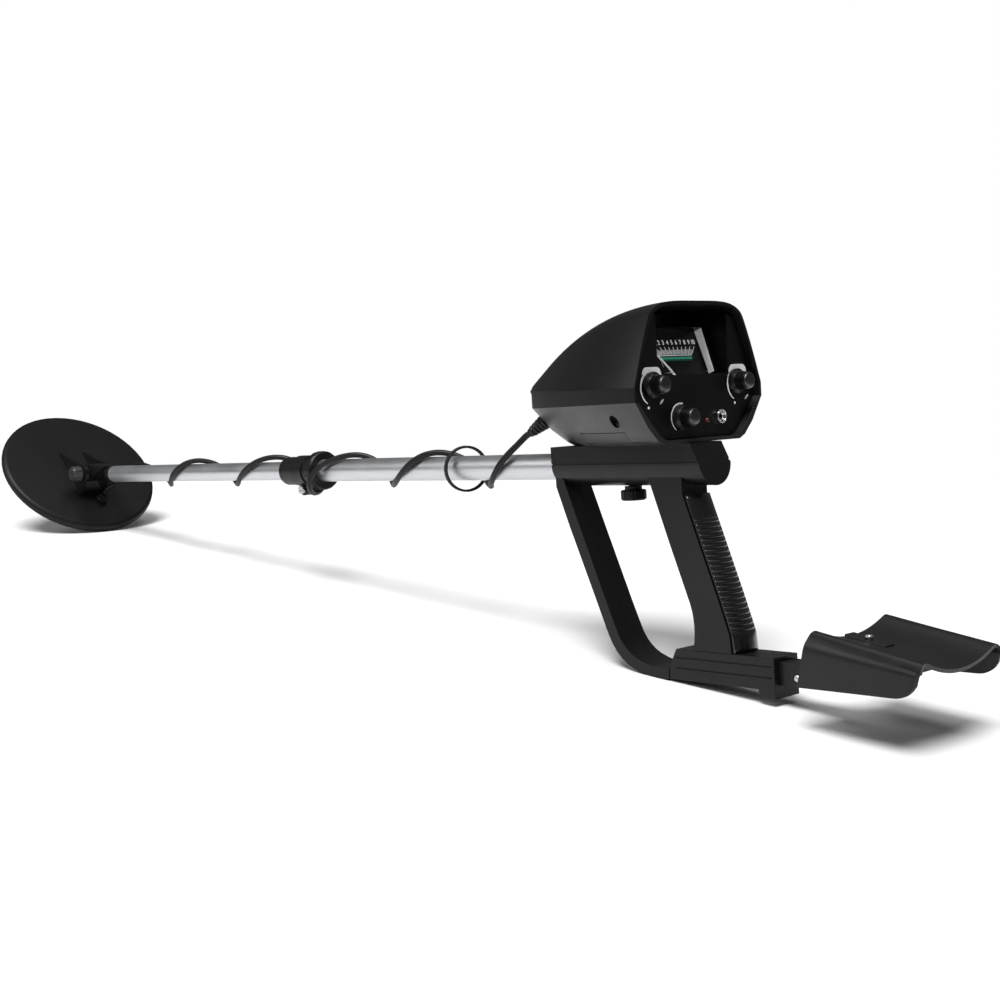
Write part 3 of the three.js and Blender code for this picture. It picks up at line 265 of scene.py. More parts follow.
def metal(name, colour, rough, stretch, streak, depth=0.00001, turn=0.0):
    # drawn or turned metal: long faint lines along one direction
    material, tree, shader = newMaterial(name)
    lines = noise(tree, objectPattern(tree, stretch, turn), 1.0, 4, 0.6)
    cloudy = noise(tree, objectPattern(tree), 30.0, 3)
    darker = tuple(v * (1 - streak) for v in colour)
    tree.links.new(mixColours(tree, spread(tree, lines, 0, 1), darker, colour), shader.inputs["Base Color"])
    tree.links.new(spread(tree, cloudy, *rough), shader.inputs["Roughness"])
    addBump(tree, shader, lines, 0.25, depth)
    shader.inputs["Metallic"].default_value = 1.0
    return material


stemPitch = math.atan2(-stemForward[2], stemForward[0])
housingBlack = moulded("housingBlack", (0.0022, 0.0022, 0.0024), (0.36, 0.46), 2200, 0.00005, 0.3, 0.26)
# the lower shell's black is over three times as pale as the upper housing's: painted light for the light it
# catches from the floor
floorLitShellBlack = moulded("floorLitShellBlack", (0.0075, 0.0075, 0.0078), (0.34, 0.44), 2200, 0.00005, 0.3, 0.5)
handleBlack = moulded("handleBlack", (0.0024, 0.0024, 0.0026), (0.34, 0.44), 1800, 0.00006, 0.35, 0.28)
coilBlack = moulded("coilBlack", (0.0018, 0.0018, 0.002), (0.4, 0.52), 2400, 0.00005, 0.3, 0.22)
panelBlack = moulded("panelBlack", (0.0016, 0.0016, 0.0018), (0.3, 0.38), 3000, 0.00002, 0.2, 0.25)
knobBlack = moulded("knobBlack", (0.0018, 0.0018, 0.0018), (0.26, 0.36), 3000, 0.00002, 0.2, 0.35)
cupBlack = moulded("cupBlack", (0.0028, 0.0028, 0.003), (0.3, 0.42), 1500, 0.00006, 0.35, 0.36)
gripRubber = moulded("gripRubber", (0.003, 0.003, 0.003), (0.2, 0.3), 1600, 0.00004, 0.3, 0.6)
cableBlack = moulded("cableBlack", (0.002, 0.002, 0.0022), (0.36, 0.48), 2000, 0.00004, 0.3, 0.3)
washerRubber = moulded("washerRubber", (0.004, 0.004, 0.004), (0.5, 0.65), 1500, 0.00005, 0.4, 0.3)
greyKnob = moulded("greyKnob", (0.02, 0.02, 0.021), (0.34, 0.44), 1800, 0.00005, 0.3, 0.4)
capGrey = metal("capGrey", (0.10, 0.10, 0.102), (0.3, 0.4), (400, 400, 400), 0.12)
blackSteel = metal("blackSteel", (0.05, 0.05, 0.052), (0.3, 0.42), (300, 300, 300), 0.2)
whiteNylon = moulded("whiteNylon", (0.62, 0.62, 0.6), (0.4, 0.5), 1800, 0.00004, 0.3)
boardGreen = moulded("boardGreen", (0.015, 0.09, 0.035), (0.3, 0.4), 500, 0.00006, 0.4)
# the meter's pale side wall, its white print and needle, and its light green bar glow a little: painted light
frostedWhitePaintedGlow = moulded("frostedWhitePaintedGlow", (0.7, 0.7, 0.7), (0.35, 0.5), 900, 0.00006, 0.4, paintedGlow=0.22)
whiteInk = moulded("whiteInk", (0.84, 0.84, 0.83), (0.45, 0.55), 2600, 0.00001, 0.2)
dialWhitePaintedGlow = moulded("dialWhitePaintedGlow", (0.9, 0.9, 0.9), (0.45, 0.55), 2600, 0.00001, 0.2, paintedGlow=0.35)
greenInkPaintedGlow = moulded("greenInkPaintedGlow", (0.05, 0.38, 0.26), (0.45, 0.55), 2600, 0.00001, 0.2, paintedGlow=0.2)
darkGreenInk = moulded("darkGreenInk", (0.008, 0.11, 0.065), (0.45, 0.55), 2600, 0.00001, 0.2)
redLens = moulded("redLens", (0.045, 0.004, 0.004), (0.14, 0.22), 600, 0.00001, 0.1)
tubeSilver = metal("tubeSilver", (0.60, 0.61, 0.63), (0.36, 0.46), (5, 700, 700), 0.08, 0.000008, -stemPitch)
screwSteel = metal("screwSteel", (0.58, 0.59, 0.61), (0.24, 0.38), (300, 300, 300), 0.15)
socketChrome = metal("socketChrome", (0.82, 0.83, 0.85), (0.10, 0.2), (200, 200, 200), 0.05)
windingCopper = metal("windingCopper", (0.62, 0.30, 0.15), (0.3, 0.45), (900, 900, 900), 0.3, 0.00004)
batteryWrap = metal("batteryWrap", (0.28, 0.29, 0.32), (0.3, 0.42), (60, 60, 60), 0.2)


def clearMoulding():
    material, tree, shader = newMaterial("clearMoulding")
    place = objectPattern(tree)
    tree.links.new(spread(tree, noise(tree, place, 60.0, 4), 0.03, 0.09), shader.inputs["Roughness"])
    tree.links.new(mixColours(tree, noise(tree, place, 9.0), (0.94, 0.96, 0.96), (0.98, 0.99, 0.99)),
                   shader.inputs["Base Color"])
    shader.inputs["Transmission Weight"].default_value = 1.0
    shader.inputs["IOR"].default_value = 1.1
    return material


windowClear = clearMoulding()
print("finishes ready")

# ---- stem tubes, mm along the stem axis ----

tubeSizes = {
    "upper_tube": {"radius": 9.7, "wall": 1.0, "from": -165.0, "to": 262.0, "body": "frame"},
    "lower_tube": {"radius": 8.4, "wall": 0.9, "from": 180.0, "to": 624.0, "body": "lower_stem"},
}


def makeTube(name, size):
    # outer wall, eased lips and bore as one closed profile carried round the axis
    r, w, a, b = size["radius"], size["wall"], size["from"], size["to"]
    lip = 0.3
    profile = [(r - lip, a), (r, a + lip)] + [(r, x) for x in np.linspace(a + 2, b - 2, 24)]
    profile += [(r, b - lip), (r - lip, b), (r - w, b), (r - w, a), (r - lip, a)]
    piece = surface(name + "_finish", onStem(revolved(profile, 80)), wrap=True)
    joinSeams(piece)
    softEdges(piece, 0.00008, 40, 1)
    piece.data.materials.append(tubeSilver)
    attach(piece, size["body"])
    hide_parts(name)


for tubeName, tubeSize in tubeSizes.items():
    makeTube(tubeName, tubeSize)
print("tubes ready")

# ---- the cable: wound round the stem, then free beside the coil hinge ----

cableSize = {
    "radius": 2.4, "sides": 16, "air": 0.75,
    "lower": 8.4, "upper": 9.7, "sleeve": 13.0, "ring": 17.3,    # what it passes over, radius in mm
}
# how far the cable's middle stands from the stem's axis where it lies on each of these, mm
onLower = cableSize["lower"] + cableSize["radius"] + cableSize["air"]
onUpper = cableSize["upper"] + cableSize["radius"] + cableSize["air"]
onSleeve = cableSize["sleeve"] + cableSize["radius"] + cableSize["air"]
overRing = cableSize["ring"] + cableSize["radius"] + cableSize["air"]
# place along the stem, quarter turns from the far side going under, distance from the axis, mm
windings = np.array([
    (548, 0, onLower), (510, 1, onLower), (484, 2, onLower), (458, 3, onLower), (424, 4, onLower),
    (389, 5, onLower), (360, 6, onLower), (331, 7, onLower + 1), (306, 7.85, onSleeve), (286, 8.15, onSleeve),
    (271, 8.38, onSleeve + 0.3), (262.5, 8.86, onSleeve + 2), (256.5, 9.28, overRing), (249, 9.62, overRing),
    (243, 9.92, onUpper + 4.2), (232, 10.3, onUpper + 1), (205, 11, onUpper), (180, 12, onUpper),
    (153, 13, onUpper), (122, 14, onUpper), (95, 15, onUpper), (63, 16, onUpper - 0.3), (34, 17, onUpper)])
# places along, to the left of and above the stem axis, mm: up into the housing, and round to the coil's gland
cableTail = [
    (25, 6.6, -11.6), (16, 11.6, -6.2), (8, 13, 1.5), (0, 11.2, 9.6), (-8, 7, 17.4), (-13.4, 3.2, 23.3),
    (-17.5, 2, 25.6), (-24.5, 1.6, 29.3)]
leadRoute = [
    (661.6, -6, -21.6), (656.2, -6.8, -16.4), (647, -11.4, -11.4), (635.5, -13.6, -4.6), (622, -14, 2),
    (606, -13.4, 7.2), (590, -12.6, 8.6), (575, -12.2, 6.6), (561, -11.8, 3.2), (548.4, -11.55, 0.1)]


def splined(points, perSpan):
    # a smooth curve through the points: each span is a cubic led by its neighbours
    p = np.asarray(points, float)
    p = np.vstack([2 * p[0] - p[1], p, 2 * p[-1] - p[-2]])
    t = np.linspace(0, 1, perSpan, endpoint=False)[:, None, None]
    a, b, c, d = p[:-3], p[1:-2], p[2:-1], p[3:]
    curve = b + 0.5 * t * (c - a + t * (2 * a - 5 * b + 4 * c - d + t * (3 * (b - c) + d - a)))
    curve = curve.transpose(1, 0, 2).reshape(-1, p.shape[1])
    return np.vstack([curve, p[-2]])


def sweptCable(name, route):
    # circles square to the route, each started square to the stem's own outward direction
    route = onStem(route)
    tangent = np.gradient(route, axis=0)
    tangent /= np.linalg.norm(tangent, axis=1, keepdims=True)
    fromStem = route - stemOrigin
    outward = fromStem - (fromStem @ stemForward)[:, None] * stemForward
    side = np.cross(tangent, outward)
    side /= np.linalg.norm(side, axis=1, keepdims=True)
    other = np.cross(tangent, side)
    a = np.linspace(0, 2 * math.pi, cableSize["sides"], endpoint=False)[None, :, None]
    ring = np.cos(a) * side[:, None] + np.sin(a) * other[:, None]
    piece = surface(name, route[:, None] + cableSize["radius"] / 1000 * ring, wrap=True, capEnds=True)
    piece.data.materials.append(cableBlack)
    return piece


def makeCable():
    # the windings as a helix of changing radius, led on smoothly into the free end
    stations = splined(windings, 12)
    angle = math.pi + stations[:, 1] * math.pi / 2
    wound = np.stack([stations[:, 0], stations[:, 2] * np.cos(angle), stations[:, 2] * np.sin(angle)], -1)
    tail = splined(np.vstack([wound[-14], wound[-1], cableTail]), 10)[10:]
    cable = sweptCable("stem_cable_finish", np.vstack([wound[:-1], tail]))
    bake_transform(cable)
    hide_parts("stem_cable")

    lead = sweptCable("coil_cable_finish", splined(leadRoute, 12))
    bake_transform(lead)
    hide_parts("coil_cable_lead")


makeCable()
print("cable ready")

# ---- control housing ----

housing = {
    "wall": 2.6, "rear": -182.0, "nose": -28.4, "noseHalf": 9.4, "noseTop": 57.0,
    "faceHalf": 64.7, "faceTop": 109.0, "parting": 43.6, "crease": 53.3, "creaseRise": 3.4,
    "halfCurve": (1.824, 1.068), "topCurve": (2.025, 1.134),    # how full it stays towards the nose
    "shoulder": (0.68, 0.26, 3),    # share of the half width at the face, loss of it at the nose, mm
    "shoulderRise": 0.86, "sideBulge": 2.2, "crown": (5, 1.8),
    "noseSteps": ((0.35, 0.93), (0.5, 0.6), (0.5, 0.0)),    # mm forward, share of the section left
}


def fullness(s, power, root):
    # one at the face, falling round to nothing at the nose
    return np.maximum(0, 1 - s ** power) ** (1 / root)


def housingLoop(s):
    # one cross-section: upright band, leaning side, rounded shoulder and crowned top, then its mirror
    h = housing
    s = np.asarray(s, float)[:, None]
    half = h["noseHalf"] + (h["faceHalf"] - h["noseHalf"]) * fullness(s, *h["halfCurve"])
    top = h["noseTop"] + (h["faceTop"] - h["noseTop"]) * fullness(s, *h["topCurve"])
    crease = h["crease"] + h["creaseRise"] * s
    share, loss, extra = h["shoulder"]
    shoulder = half * (share - loss * s) + extra
    shoulderZ = crease + (top - crease) * h["shoulderRise"]
    t = np.linspace(0, 1, 22)[None, :]
    sideY = half + (shoulder - half) * t
    sideZ = crease + (shoulderZ - crease) * t + h["sideBulge"] * np.sin(math.pi * t)
    crownY = shoulder * (1 - np.linspace(0, 1, 26)[None, 1:])
    crownZ = top - (top - shoulderZ) * (crownY / shoulder) ** (h["crown"][0] - h["crown"][1] * s)
    bandY = np.repeat(half, 4, 1)
    bandZ = h["parting"] + (crease - h["parting"]) * np.linspace(0, 0.92, 4)[None, :]
    y = np.hstack([bandY, sideY, crownY])
    z = np.hstack([bandZ, sideZ, crownZ])
    for _ in range(4):
        # the shoulder's corner is eased, and the band below the crease stays sharp
        y[:, 7:-3] = y[:, 7:-3] / 2 + (y[:, 6:-4] + y[:, 8:-2]) / 4
        z[:, 7:-3] = z[:, 7:-3] / 2 + (z[:, 6:-4] + z[:, 8:-2]) / 4
    y = np.hstack([y, -y[:, -2::-1]])
    z = np.hstack([z, z[:, -2::-1]])
    return y, z


def makeHousingTop():
    # cross-sections from face to nose, crowded together where the nose rounds off
    h = housing
    s = 1 - (1 - np.linspace(0, 1, 90)) ** 1.9
    y, z = housingLoop(s)
    x = np.repeat((h["rear"] + s * (h["nose"] - h["rear"]))[:, None], y.shape[1], 1)
    # the blunt nose closes in three steps to the middle of its parting line
    step, share = np.array(h["noseSteps"]).T[:, :, None]
    x = np.vstack([x, x[-1] + step])
    y = np.vstack([y, y[-1] * share])
    z = np.vstack([z, h["parting"] + (z[-1] - h["parting"]) * share])
    piece = surface("housing_upper_finish", onStem(np.stack([x, y, z], -1)))
    joinSeams(piece)
    addModifier(piece, "SOLIDIFY", thickness=h["wall"] / 1000, offset=-1, use_even_offset=False)
    softEdges(piece, 0.0007, 50, 3)
    piece.data.materials.append(housingBlack)
    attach(piece, "frame")
    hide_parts("housing_upper")


makeHousingTop()
print("housing ready")

# ---- grip ----

gripShape = {
    "line": [(-173.3, -19.8), (-199.2, -88.6), (-207.4, -112.0), (-208.4, -123.9)],
    "half": 12.3, "bulge": 4.2, "proud": 1.8, "ribStart": 17.0, "ribEnd": 96.2, "pitch": 3.6, "depth": 1.1,
    "ribShare": 0.8, "groove": 0.55, "fade": 0.6,
}


def makeGrip():
    # the back bulges as a parabola across, and waves in raised ribs along
    g = gripShape
    line = np.array(g["line"])
    run = np.concatenate([[0], np.cumsum(np.hypot(*np.diff(line, axis=0).T))])
    ribStations = np.linspace(g["ribStart"], g["ribEnd"], 400)
    d = np.unique(np.concatenate([np.linspace(0, run[-1], 40), ribStations]))
    x = np.interp(d, run, line[:, 0])[:, None]
    z = np.interp(d, run, line[:, 1])[:, None]
    # each rib is a half round standing on a narrow flat groove
    phase = np.mod((d - g["ribStart"]) / g["pitch"], 1)
    rib = g["depth"] * (np.sqrt(np.maximum(0, 1 - ((phase - 0.5) / (g["ribShare"] / 2)) ** 2)) - g["groove"])
    inside = np.clip(np.minimum(d - g["ribStart"], g["ribEnd"] - d) / g["fade"], 0, 1)
    rib = (rib * inside)[:, None]
    across = np.linspace(1, -1, 33)[None, :]
    y = g["half"] * across + 0 * x
    out = g["bulge"] * (1 - across ** 2) + g["proud"] + rib * np.sqrt(np.maximum(0, 1 - across ** 4))
    back = np.stack([x - out, y, z + 0 * y], -1)
    front = np.stack([x + 0 * y, -y, z + 0 * y], -1)
    grid = onStem(np.concatenate([back, front], 1))
    piece = surface("grip_finish", grid, wrap=True, capEnds=True, flip=True)
    piece.data.materials.append(gripRubber)
    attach(piece, "frame")
    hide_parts("grip_insert")


makeGrip()

# ---- arm cup ----

cupShape = {
    "front": -292.8, "rear": -368.8, "frontZ": -100.6, "rearZ": -114.4, "half": 38.6, "depth": 9.0,
    "ridge": 43.4, "ridgeStart": 2.6, "ridgeDrop": 7.6, "ridgeRise": 3.0, "rearStep": 1, "skirtStart": 8,
    "skirtFoot": -133.2, "skirtSplay": 0.8, "wall": 2.4, "corner": 17.0,
}


def makeArmCup():
    # from skirt to skirt: down-turned side, rolled ridge, raised lip, shallow trough, and back
    c = cupShape
    rear = c["rear"] - c["rearStep"]
    v = np.linspace(0, 1, 34)[:, None]
    edgeX = c["front"] + (c["rear"] - c["front"]) * v
    edgeZ = c["frontZ"] + (c["rearZ"] - c["frontZ"]) * v
    troughY = np.linspace(c["half"], -c["half"], 41)[None, :]
    troughZ = edgeZ - c["depth"] * (1 - (troughY / c["half"]) ** 2)
    troughX = edgeX + 0 * troughY
    ridgeX = c["front"] + c["ridgeStart"] + (rear - c["front"] - c["ridgeStart"]) * v
    ridgeZ = edgeZ - c["ridgeDrop"] + c["ridgeRise"] * v
    footX = c["front"] + c["skirtStart"] + (rear - c["front"] - c["skirtStart"]) * v
    # the skirt's lower rear corner is a quarter circle
    reach = np.clip((rear + c["corner"] - footX) / c["corner"], 0, 1)
    footZ = c["skirtFoot"] + c["corner"] * (1 - np.sqrt(1 - reach ** 2))
    t = np.linspace(0, 1, 16)[None, :]
    skirtX = footX + (ridgeX - footX) * t
    skirtZ = footZ + (ridgeZ - footZ) * t
    skirtY = c["ridge"] + c["skirtSplay"] * (1 - t) + 0 * v
    r = np.linspace(0, 1, 8)[None, 1:-1]
    rollX = ridgeX + (edgeX - ridgeX) * r
    rollY = c["ridge"] + (c["half"] - c["ridge"]) * r + 0 * v
    rollZ = ridgeZ + (edgeZ - ridgeZ) * r
    x = np.hstack([skirtX, rollX, troughX, rollX[:, ::-1], skirtX[:, ::-1]])
    y = np.hstack([skirtY, rollY, troughY + 0 * v, -rollY[:, ::-1], -skirtY[:, ::-1]])
    z = np.hstack([skirtZ, rollZ, troughZ, rollZ[:, ::-1], skirtZ[:, ::-1]])
    for _ in range(3):
        # ridges and lips are rolled over
        y[:, 13:-13] = y[:, 13:-13] / 2 + (y[:, 12:-14] + y[:, 14:-12]) / 4
        z[:, 13:-13] = z[:, 13:-13] / 2 + (z[:, 12:-14] + z[:, 14:-12]) / 4
    piece = surface("arm_cup_finish", onStem(np.stack([x, y, z], -1)))
    addModifier(piece, "SOLIDIFY", thickness=c["wall"] / 1000, offset=-1, use_even_offset=False)
    softEdges(piece, 0.0006, 50, 3)
    piece.data.materials.append(cupBlack)
    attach(piece, "arm_rest")
    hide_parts("arm_cup")


makeArmCup()
print("grip and arm cup ready")

# ---- CAD nodes that keep their shape ----

# finish and edge rounding in mm
nodeFinishes = {
    "coil_upper_shell": (coilBlack, 0.6), "coil_lower_cover": (coilBlack, 0.5),
    "transmit_winding": (windingCopper, 0.3), "receive_winding": (windingCopper, 0.3),
    "coil_pivot_bolt": (screwSteel, 0.4), "coil_lock_knob": (greyKnob, 0.5),
    "coil_cable_gland": (coilBlack, 0.4), "rubber_washer_left": (washerRubber, 0.2),
    "rubber_washer_right": (washerRubber, 0.2), "stem_yoke": (coilBlack, 0.6),
    "lower_tube_bush": (whiteNylon, 0.3), "stem_clamp_sleeve": (handleBlack, 0.5),
    "clamp_screw": (screwSteel, 0.3), "clamp_nut": (screwSteel, 0.3), "lock_ring": (handleBlack, 0.4),
    "cable_strap": (washerRubber, 0.6), "cable_strain_relief": (cableBlack, 0.3),
    # the lower shell and its battery door take the paler black: painted light from the floor
    "housing_lower": (floorLitShellBlack, 0.4), "battery_door": (floorLitShellBlack, 0.3),
    "housing_screw": (blackSteel, 0.3), "control_panel": (panelBlack, 0.4),
    "meter_tub": (panelBlack, 0.3), "meter_case": (panelBlack, 0.4), "meter_scale": (panelBlack, 0.1),
    # the needle's white glows a little: painted light
    "meter_needle": (dialWhitePaintedGlow, 0.1), "discrimination_knob": (knobBlack, 0.4),
    "tuning_knob": (knobBlack, 0.4), "volume_knob": (knobBlack, 0.4),
    "discrimination_potentiometer": (screwSteel, 0.3), "tuning_potentiometer": (screwSteel, 0.3),
    "volume_potentiometer": (screwSteel, 0.3), "earphone_socket": (socketChrome, 0.2),
    "earphone_socket_nut": (socketChrome, 0.3), "low_battery_led": (redLens, 0.3),
    "circuit_board": (boardGreen, 0.2), "speaker": (washerRubber, 0.4), "battery": (batteryWrap, 0.8),
    "handle_left": (handleBlack, 1.1), "handle_right": (handleBlack, 1.1),
    "handle_screw_1": (screwSteel, 0.3), "handle_screw_2": (screwSteel, 0.3),
    "handle_screw_3": (screwSteel, 0.3), "handle_screw_4": (screwSteel, 0.3),
    "stem_thumb_screw": (handleBlack, 0.5), "base_block": (handleBlack, 0.9),
    "arm_rest_tongue": (handleBlack, 0.8), "cup_clamp_plate": (cupBlack, 0.6),
    "cup_clamp_screw": (screwSteel, 0.4), "tongue_stud": (screwSteel, 0.4),
    "meter_window": (windowClear, 0.5),
}
for nodeName, (nodeMaterial, nodeEdge) in nodeFinishes.items():
    finishNode(nodeName, nodeMaterial, nodeEdge / 1000, 3 if nodeEdge > 0.7 else 2)
print("nodes finished")

# ---- print on the panel and the dial ----

panelPrint = {
    "face": -177.3, "rise": 0.12, "knobs": (("left", 42.4, 52.6), ("right", -45.5, 52.6)),
    "arc": 11.3, "arcSpan": (-62, 46), "arcHalf": (0.35, 0.85),
    "volume": (16.0, 32.2), "volumeArc": 9.4, "volumeSpan": (-58, 106), "volumeHalf": (0.3, 0.55),
    "blockHalf": 9.4, "blockShift": 0.2, "blockTop": 13.6, "blockFoot": 6.4, "blockCorner": 4.4,
    "blockStep": 2.2,
    "dot": (4.6, -12.8, 0.95), "mark": (-8.3, -9.2), "markRun": (-1.9, 1.6), "markHalf": 0.75,
}
arcSteps = 30


def printPatch(name, corners, material, place):
    # a thin strip between two lines of points, given a little thickness
    inner, outer = np.asarray(corners[0], float), np.asarray(corners[1], float)
    t = np.linspace(0, 1, 3)[:, None, None]
    grid = inner[None] * (1 - t) + outer[None] * t
    piece = surface(name, place(grid), smooth=False)
    joinSeams(piece)
    addModifier(piece, "SOLIDIFY", thickness=0.00008, offset=0)
    piece.data.materials.append(material)
    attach(piece, "frame")


def arcPoints(centre, radius, low, high, x):
    # a run round a circle on the panel, angles in degrees up from the user's left
    a = np.radians(np.linspace(low, high, arcSteps))
    return np.stack([np.full_like(a, x), centre[0] + radius * np.cos(a), centre[1] + radius * np.sin(a)], -1)


def makePanelPrint():
    p = panelPrint
    x = p["face"] - p["rise"]
    for label, *centre in p["knobs"]:
        # an arc that widens upwards
        widths = np.linspace(*p["arcHalf"], arcSteps)
        arc = [arcPoints(centre, p["arc"] + sign * widths, *p["arcSpan"], x) for sign in (-1, 1)]
        printPatch(f"print_arc_{label}", arc, whiteInk, onStem)
        # the block that it runs into above the knob: round top corners, and a foot that bows over the knob
        across = np.linspace(-1, 1, 41)
        y = centre[0] + p["blockShift"] - p["blockHalf"] * across
        top = centre[1] + p["blockTop"] - p["blockCorner"] * np.abs(across) ** 7
        bow = np.sqrt(np.maximum(8.5 ** 2 - (9.0 * across) ** 2, 0)) * 0.25
        foot = centre[1] + bow + p["blockFoot"] + p["blockStep"] * (across < -0.85)
        block = [np.stack([np.full_like(y, x), y, np.minimum(z, top)], -1) for z in (foot, top)]
        printPatch(f"print_block_{label}", block, whiteInk, onStem)
        # a dot and a short slanting mark below the knob
        dotCentre = (centre[0] + p["dot"][0], centre[1] + p["dot"][1])
        dot = [arcPoints(dotCentre, radius, 0, 360, x) for radius in (0, p["dot"][2])]
        printPatch(f"print_dot_{label}", dot, whiteInk, onStem)
        along = np.linspace(-1, 1, 15)
        half = p["markHalf"] * np.sqrt(1 - along ** 2) + 0.02
        markY = centre[0] + p["mark"][0] + p["markRun"][0] * along
        markZ = centre[1] + p["mark"][1] + p["markRun"][1] * along
        line = np.stack([np.full_like(along, x), markY, markZ], -1)
        side = np.array([0, 0.64, 0.77]) * half[:, None]
        printPatch(f"print_mark_{label}", (line - side, line + side), whiteInk, onStem)
    widths = np.linspace(*p["volumeHalf"], arcSteps)
    ring = [arcPoints(p["volume"], p["volumeArc"] + sign * widths, *p["volumeSpan"], x) for sign in (-1, 1)]
    printPatch("print_arc_volume", ring, whiteInk, onStem)


makePanelPrint()

dial = {
    "middle": 1.3, "halfSpan": 21.8, "face": -0.12,
    "numberZ": 22.7, "numberSize": 4.5, "numberWidth": 0.9, "numberBold": 0.1, "numberDepth": 0.03,
    "tickTop": 19.6, "tickFoot": 14.2, "footShare": 0.8, "shortShare": 0.62, "tickHalf": (0.24, 0.13),
    "bars": ((13.5, 0.5, dialWhitePaintedGlow), (11.5, 1.6, greenInkPaintedGlow), (9.9, 1.0, darkGreenInk)), "barHalf": 17.0,
    "barShrink": 0.04,
}


def makeDialNumber(i):
    d = dial
    text = bpy.data.curves.new(f"dial_number_{i}", "FONT")
    text.body = str(i)
    text.size = d["numberSize"]
    text.align_x, text.align_y = "CENTER", "CENTER"
    text.offset = d["numberBold"]
    text.extrude = d["numberDepth"]
    written = bpy.data.objects.new(f"dial_number_{i}", text)
    bpy.context.scene.collection.objects.link(written)
    bpy.context.view_layer.update()
    mesh = bpy.data.meshes.new_from_object(written)
    bpy.data.objects.remove(written)
    co = np.empty(len(mesh.vertices) * 3)
    mesh.vertices.foreach_get("co", co)
    co = co.reshape(-1, 3)
    # the text reads left to right from the user's seat, so its x runs to the right
    across = d["middle"] + d["halfSpan"] * (1 - i / 5) - co[:, 0] * d["numberWidth"]
    flat = np.stack([d["face"] - co[:, 2], across, d["numberZ"] + co[:, 1]], -1)
    mesh.vertices.foreach_set("co", onMeter(flat).ravel())
    mesh.update()
    number = bpy.data.objects.new(f"dial_number_{i}", mesh)
    bpy.context.scene.collection.objects.link(number)
    number.data.materials.clear()
    number.data.materials.append(dialWhitePaintedGlow)
    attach(number, "frame")


def makeDial():
    # eleven numbers, strokes fanned below them with every fourth one long, and three level bars; the white
    # and the light green glow a little, painted light
    d = dial
    for i in range(11):
        makeDialNumber(i)
    for i in range(41):
        share = 1 - i / 20
        long = i % 4 == 0
        foot = np.array([d["face"], d["middle"] + d["halfSpan"] * share * d["footShare"], d["tickFoot"]])
        head = np.array([d["face"], d["middle"] + d["halfSpan"] * share, d["tickTop"]])
        head = head if long else foot + (head - foot) * d["shortShare"]
        width = np.array([0, d["tickHalf"][0 if long else 1], 0])
        stroke = (foot - width, foot + width), (head - width, head + width)
        printPatch(f"dial_tick_{i}", stroke, dialWhitePaintedGlow, onMeter)
    for j, (z, height, ink) in enumerate(d["bars"]):
        y = d["middle"] + np.linspace(d["barHalf"], -d["barHalf"], 8) * (1 - d["barShrink"] * j)
        low = np.stack([np.full_like(y, d["face"]), y, np.full_like(y, z - height / 2)], -1)
        printPatch(f"dial_bar_{j}", (low, low + np.array([0, 0, height])), ink, onMeter)


makeDial()

cheek = {"y": -24.9, "thick": 0.3, "corners": ((-0.6, 30.4), (-7.0, 30.4), (-7.0, -1.2), (-2.4, -1.2))}


def makeCheek():
    # the pale side wall behind the meter's clear cover, a wedge that narrows downwards; its finish glows a
    # little, painted light
    c = cheek
    corner = np.array(c["corners"])
    v = np.linspace(0, 1, 24)[:, None, None]
    u = np.linspace(0, 1, 6)[None, :, None]
    top = corner[0] * (1 - u) + corner[1] * u
    foot = corner[3] * (1 - u) + corner[2] * u
    wall = top * (1 - v) + foot * v
    grid = np.stack([wall[..., 0], np.full(wall.shape[:2], c["y"]), wall[..., 1]], -1)
    piece = surface("meter_cheek", onMeter(grid))
    addModifier(piece, "SOLIDIFY", thickness=c["thick"] / 1000, offset=0)
    piece.data.materials.append(frostedWhitePaintedGlow)
    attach(piece, "frame")


makeCheek()

knobCap = {
    "radius": 5.6, "face": -177.3, "height": 13.5, "proud": 0.4, "dome": 2.2, "foot": 2.4,
    "axes": (("discrimination", 43.0, 54.6), ("tuning", -43.0, 54.6), ("volume", 15.8, 32.4)),
}


def makeKnobCap(name, y, z):
    # a low dome, an elliptic arc from its middle to its rim, set in the end of its knob
    c = knobCap
    end = c["face"] - c["height"]
    arc = np.linspace(0, math.pi / 2, 14)
    domeEdge = np.stack([c["radius"] * np.sin(arc), end - c["proud"] + c["dome"] * (1 - np.cos(arc))], -1)
    profile = np.vstack([domeEdge, [(c["radius"], end + c["foot"]), (0, end + c["foot"])]])
    dome = revolved(profile, 48) + np.array([0, y, z])
    piece = surface(f"{name}_cap_finish", onStem(dome), wrap=True)
    joinSeams(piece)
    piece.data.materials.append(capGrey)
    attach(piece, f"{name}_control")
    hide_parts(f"{name}_knob_cap")


for capName, capY, capZ in knobCap["axes"]:
    makeKnobCap(capName, capY, capZ)
print("print and caps ready")

# ---- floor and light ----

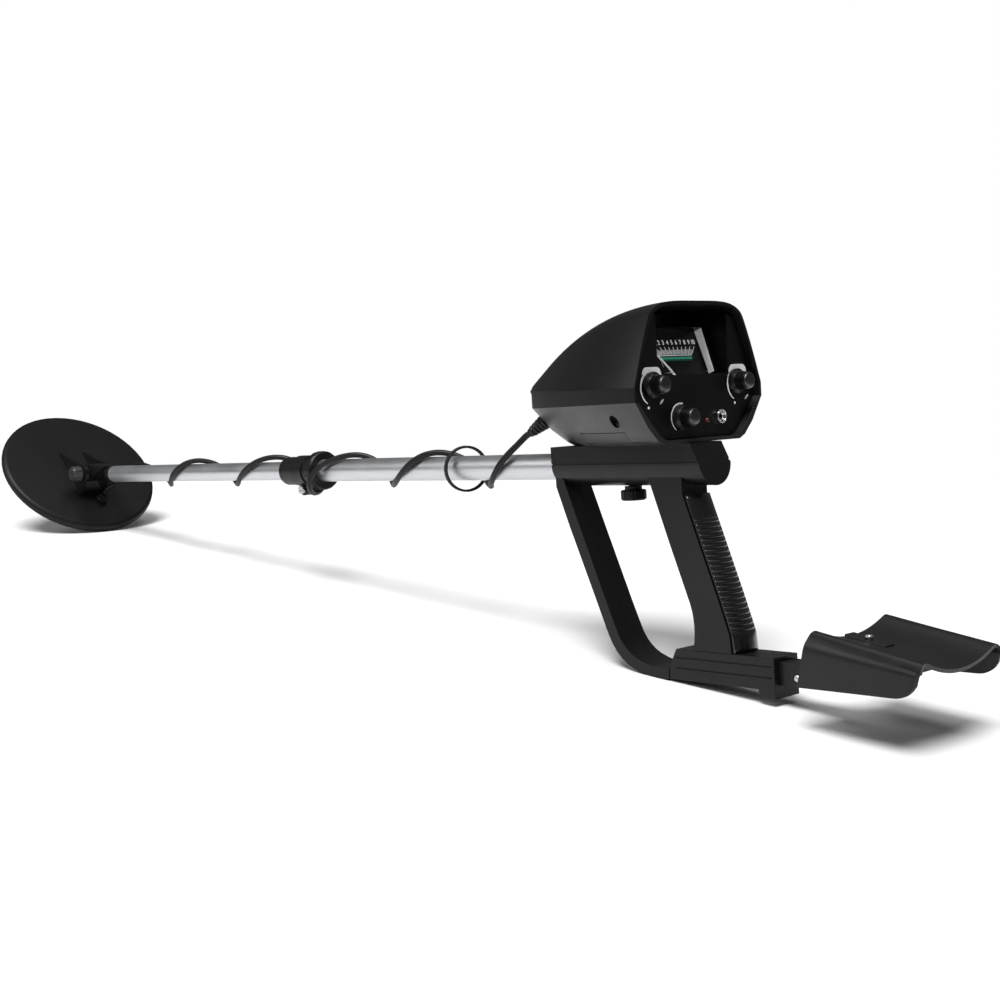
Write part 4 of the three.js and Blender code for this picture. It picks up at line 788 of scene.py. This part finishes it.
studio = {
    "floor": (0.86, 0.86, 0.865), "middle": (0.34, 0.0), "radius": 0.95, "level": -0.0004,
    "surround": 0.13, "backdrop": 1.0,
    "sun": ((-0.35, 0.75, 1.55), 3.6, 28),
    "soft": (("left", (1.5, 1.7, 1.2), (0.2, 0, 0.12), 1.1, 12),
             ("top", (0.2, -0.2, 1.9), (0.2, 0, 0.1), 1.3, 9)),
}


def makeStudio(setup):
    # a round pale table: rings of points out to its edge
    ring = np.linspace(0, setup["radius"], 20)[:, None]
    a = np.linspace(0, 2 * math.pi, 72, endpoint=False)[None, :]
    x = setup["middle"][0] + ring * np.cos(a)
    y = setup["middle"][1] + ring * np.sin(a)
    floor = surface("floor", np.stack([x, y, np.full_like(x, setup["level"])], -1), wrap=True)
    joinSeams(floor)
    material, tree, shader = newMaterial("floorPaper")
    place = objectPattern(tree)
    paler = tuple(v * 1.02 for v in setup["floor"])
    shade = mixColours(tree, noise(tree, place, 3.0), setup["floor"], paler)
    tree.links.new(shade, shader.inputs["Base Color"])
    shader.inputs["Roughness"].default_value = 0.9
    floor.data.materials.append(material)
    # the room is dim for the object's reflections, and shows as a plain white backdrop
    world = bpy.data.worlds.new("studio")
    bpy.context.scene.world = world
    world.use_nodes = True
    tree = world.node_tree
    seen = tree.nodes.new("ShaderNodeLightPath")
    level = tree.nodes.new("ShaderNodeMapRange")
    level.inputs["To Min"].default_value = setup["surround"]
    level.inputs["To Max"].default_value = setup["backdrop"]
    tree.links.new(seen.outputs["Is Camera Ray"], level.inputs["Value"])
    tree.links.new(level.outputs["Result"], tree.nodes["Background"].inputs["Strength"])
    tree.nodes["Background"].inputs["Color"].default_value = (1, 1, 1, 1)
    place, power, width = setup["sun"]
    sun = bpy.data.objects.new("sun", bpy.data.lights.new("sun", "SUN"))
    bpy.context.scene.collection.objects.link(sun)
    sun.location = place
    sun.rotation_euler = (-Vector(place)).to_track_quat("-Z", "Y").to_euler()
    sun.data.energy, sun.data.angle = power, math.radians(width)
    for name, place, aim, size, power in setup["soft"]:
        light = bpy.data.objects.new(name, bpy.data.lights.new(name, "AREA"))
        bpy.context.scene.collection.objects.link(light)
        light.location = place
        light.rotation_euler = (Vector(aim) - Vector(place)).to_track_quat("-Z", "Y").to_euler()
        light.data.size = size
        light.data.energy = power
    bpy.context.scene.view_settings.view_transform = "Standard"


makeStudio(studio)
print("studio ready")
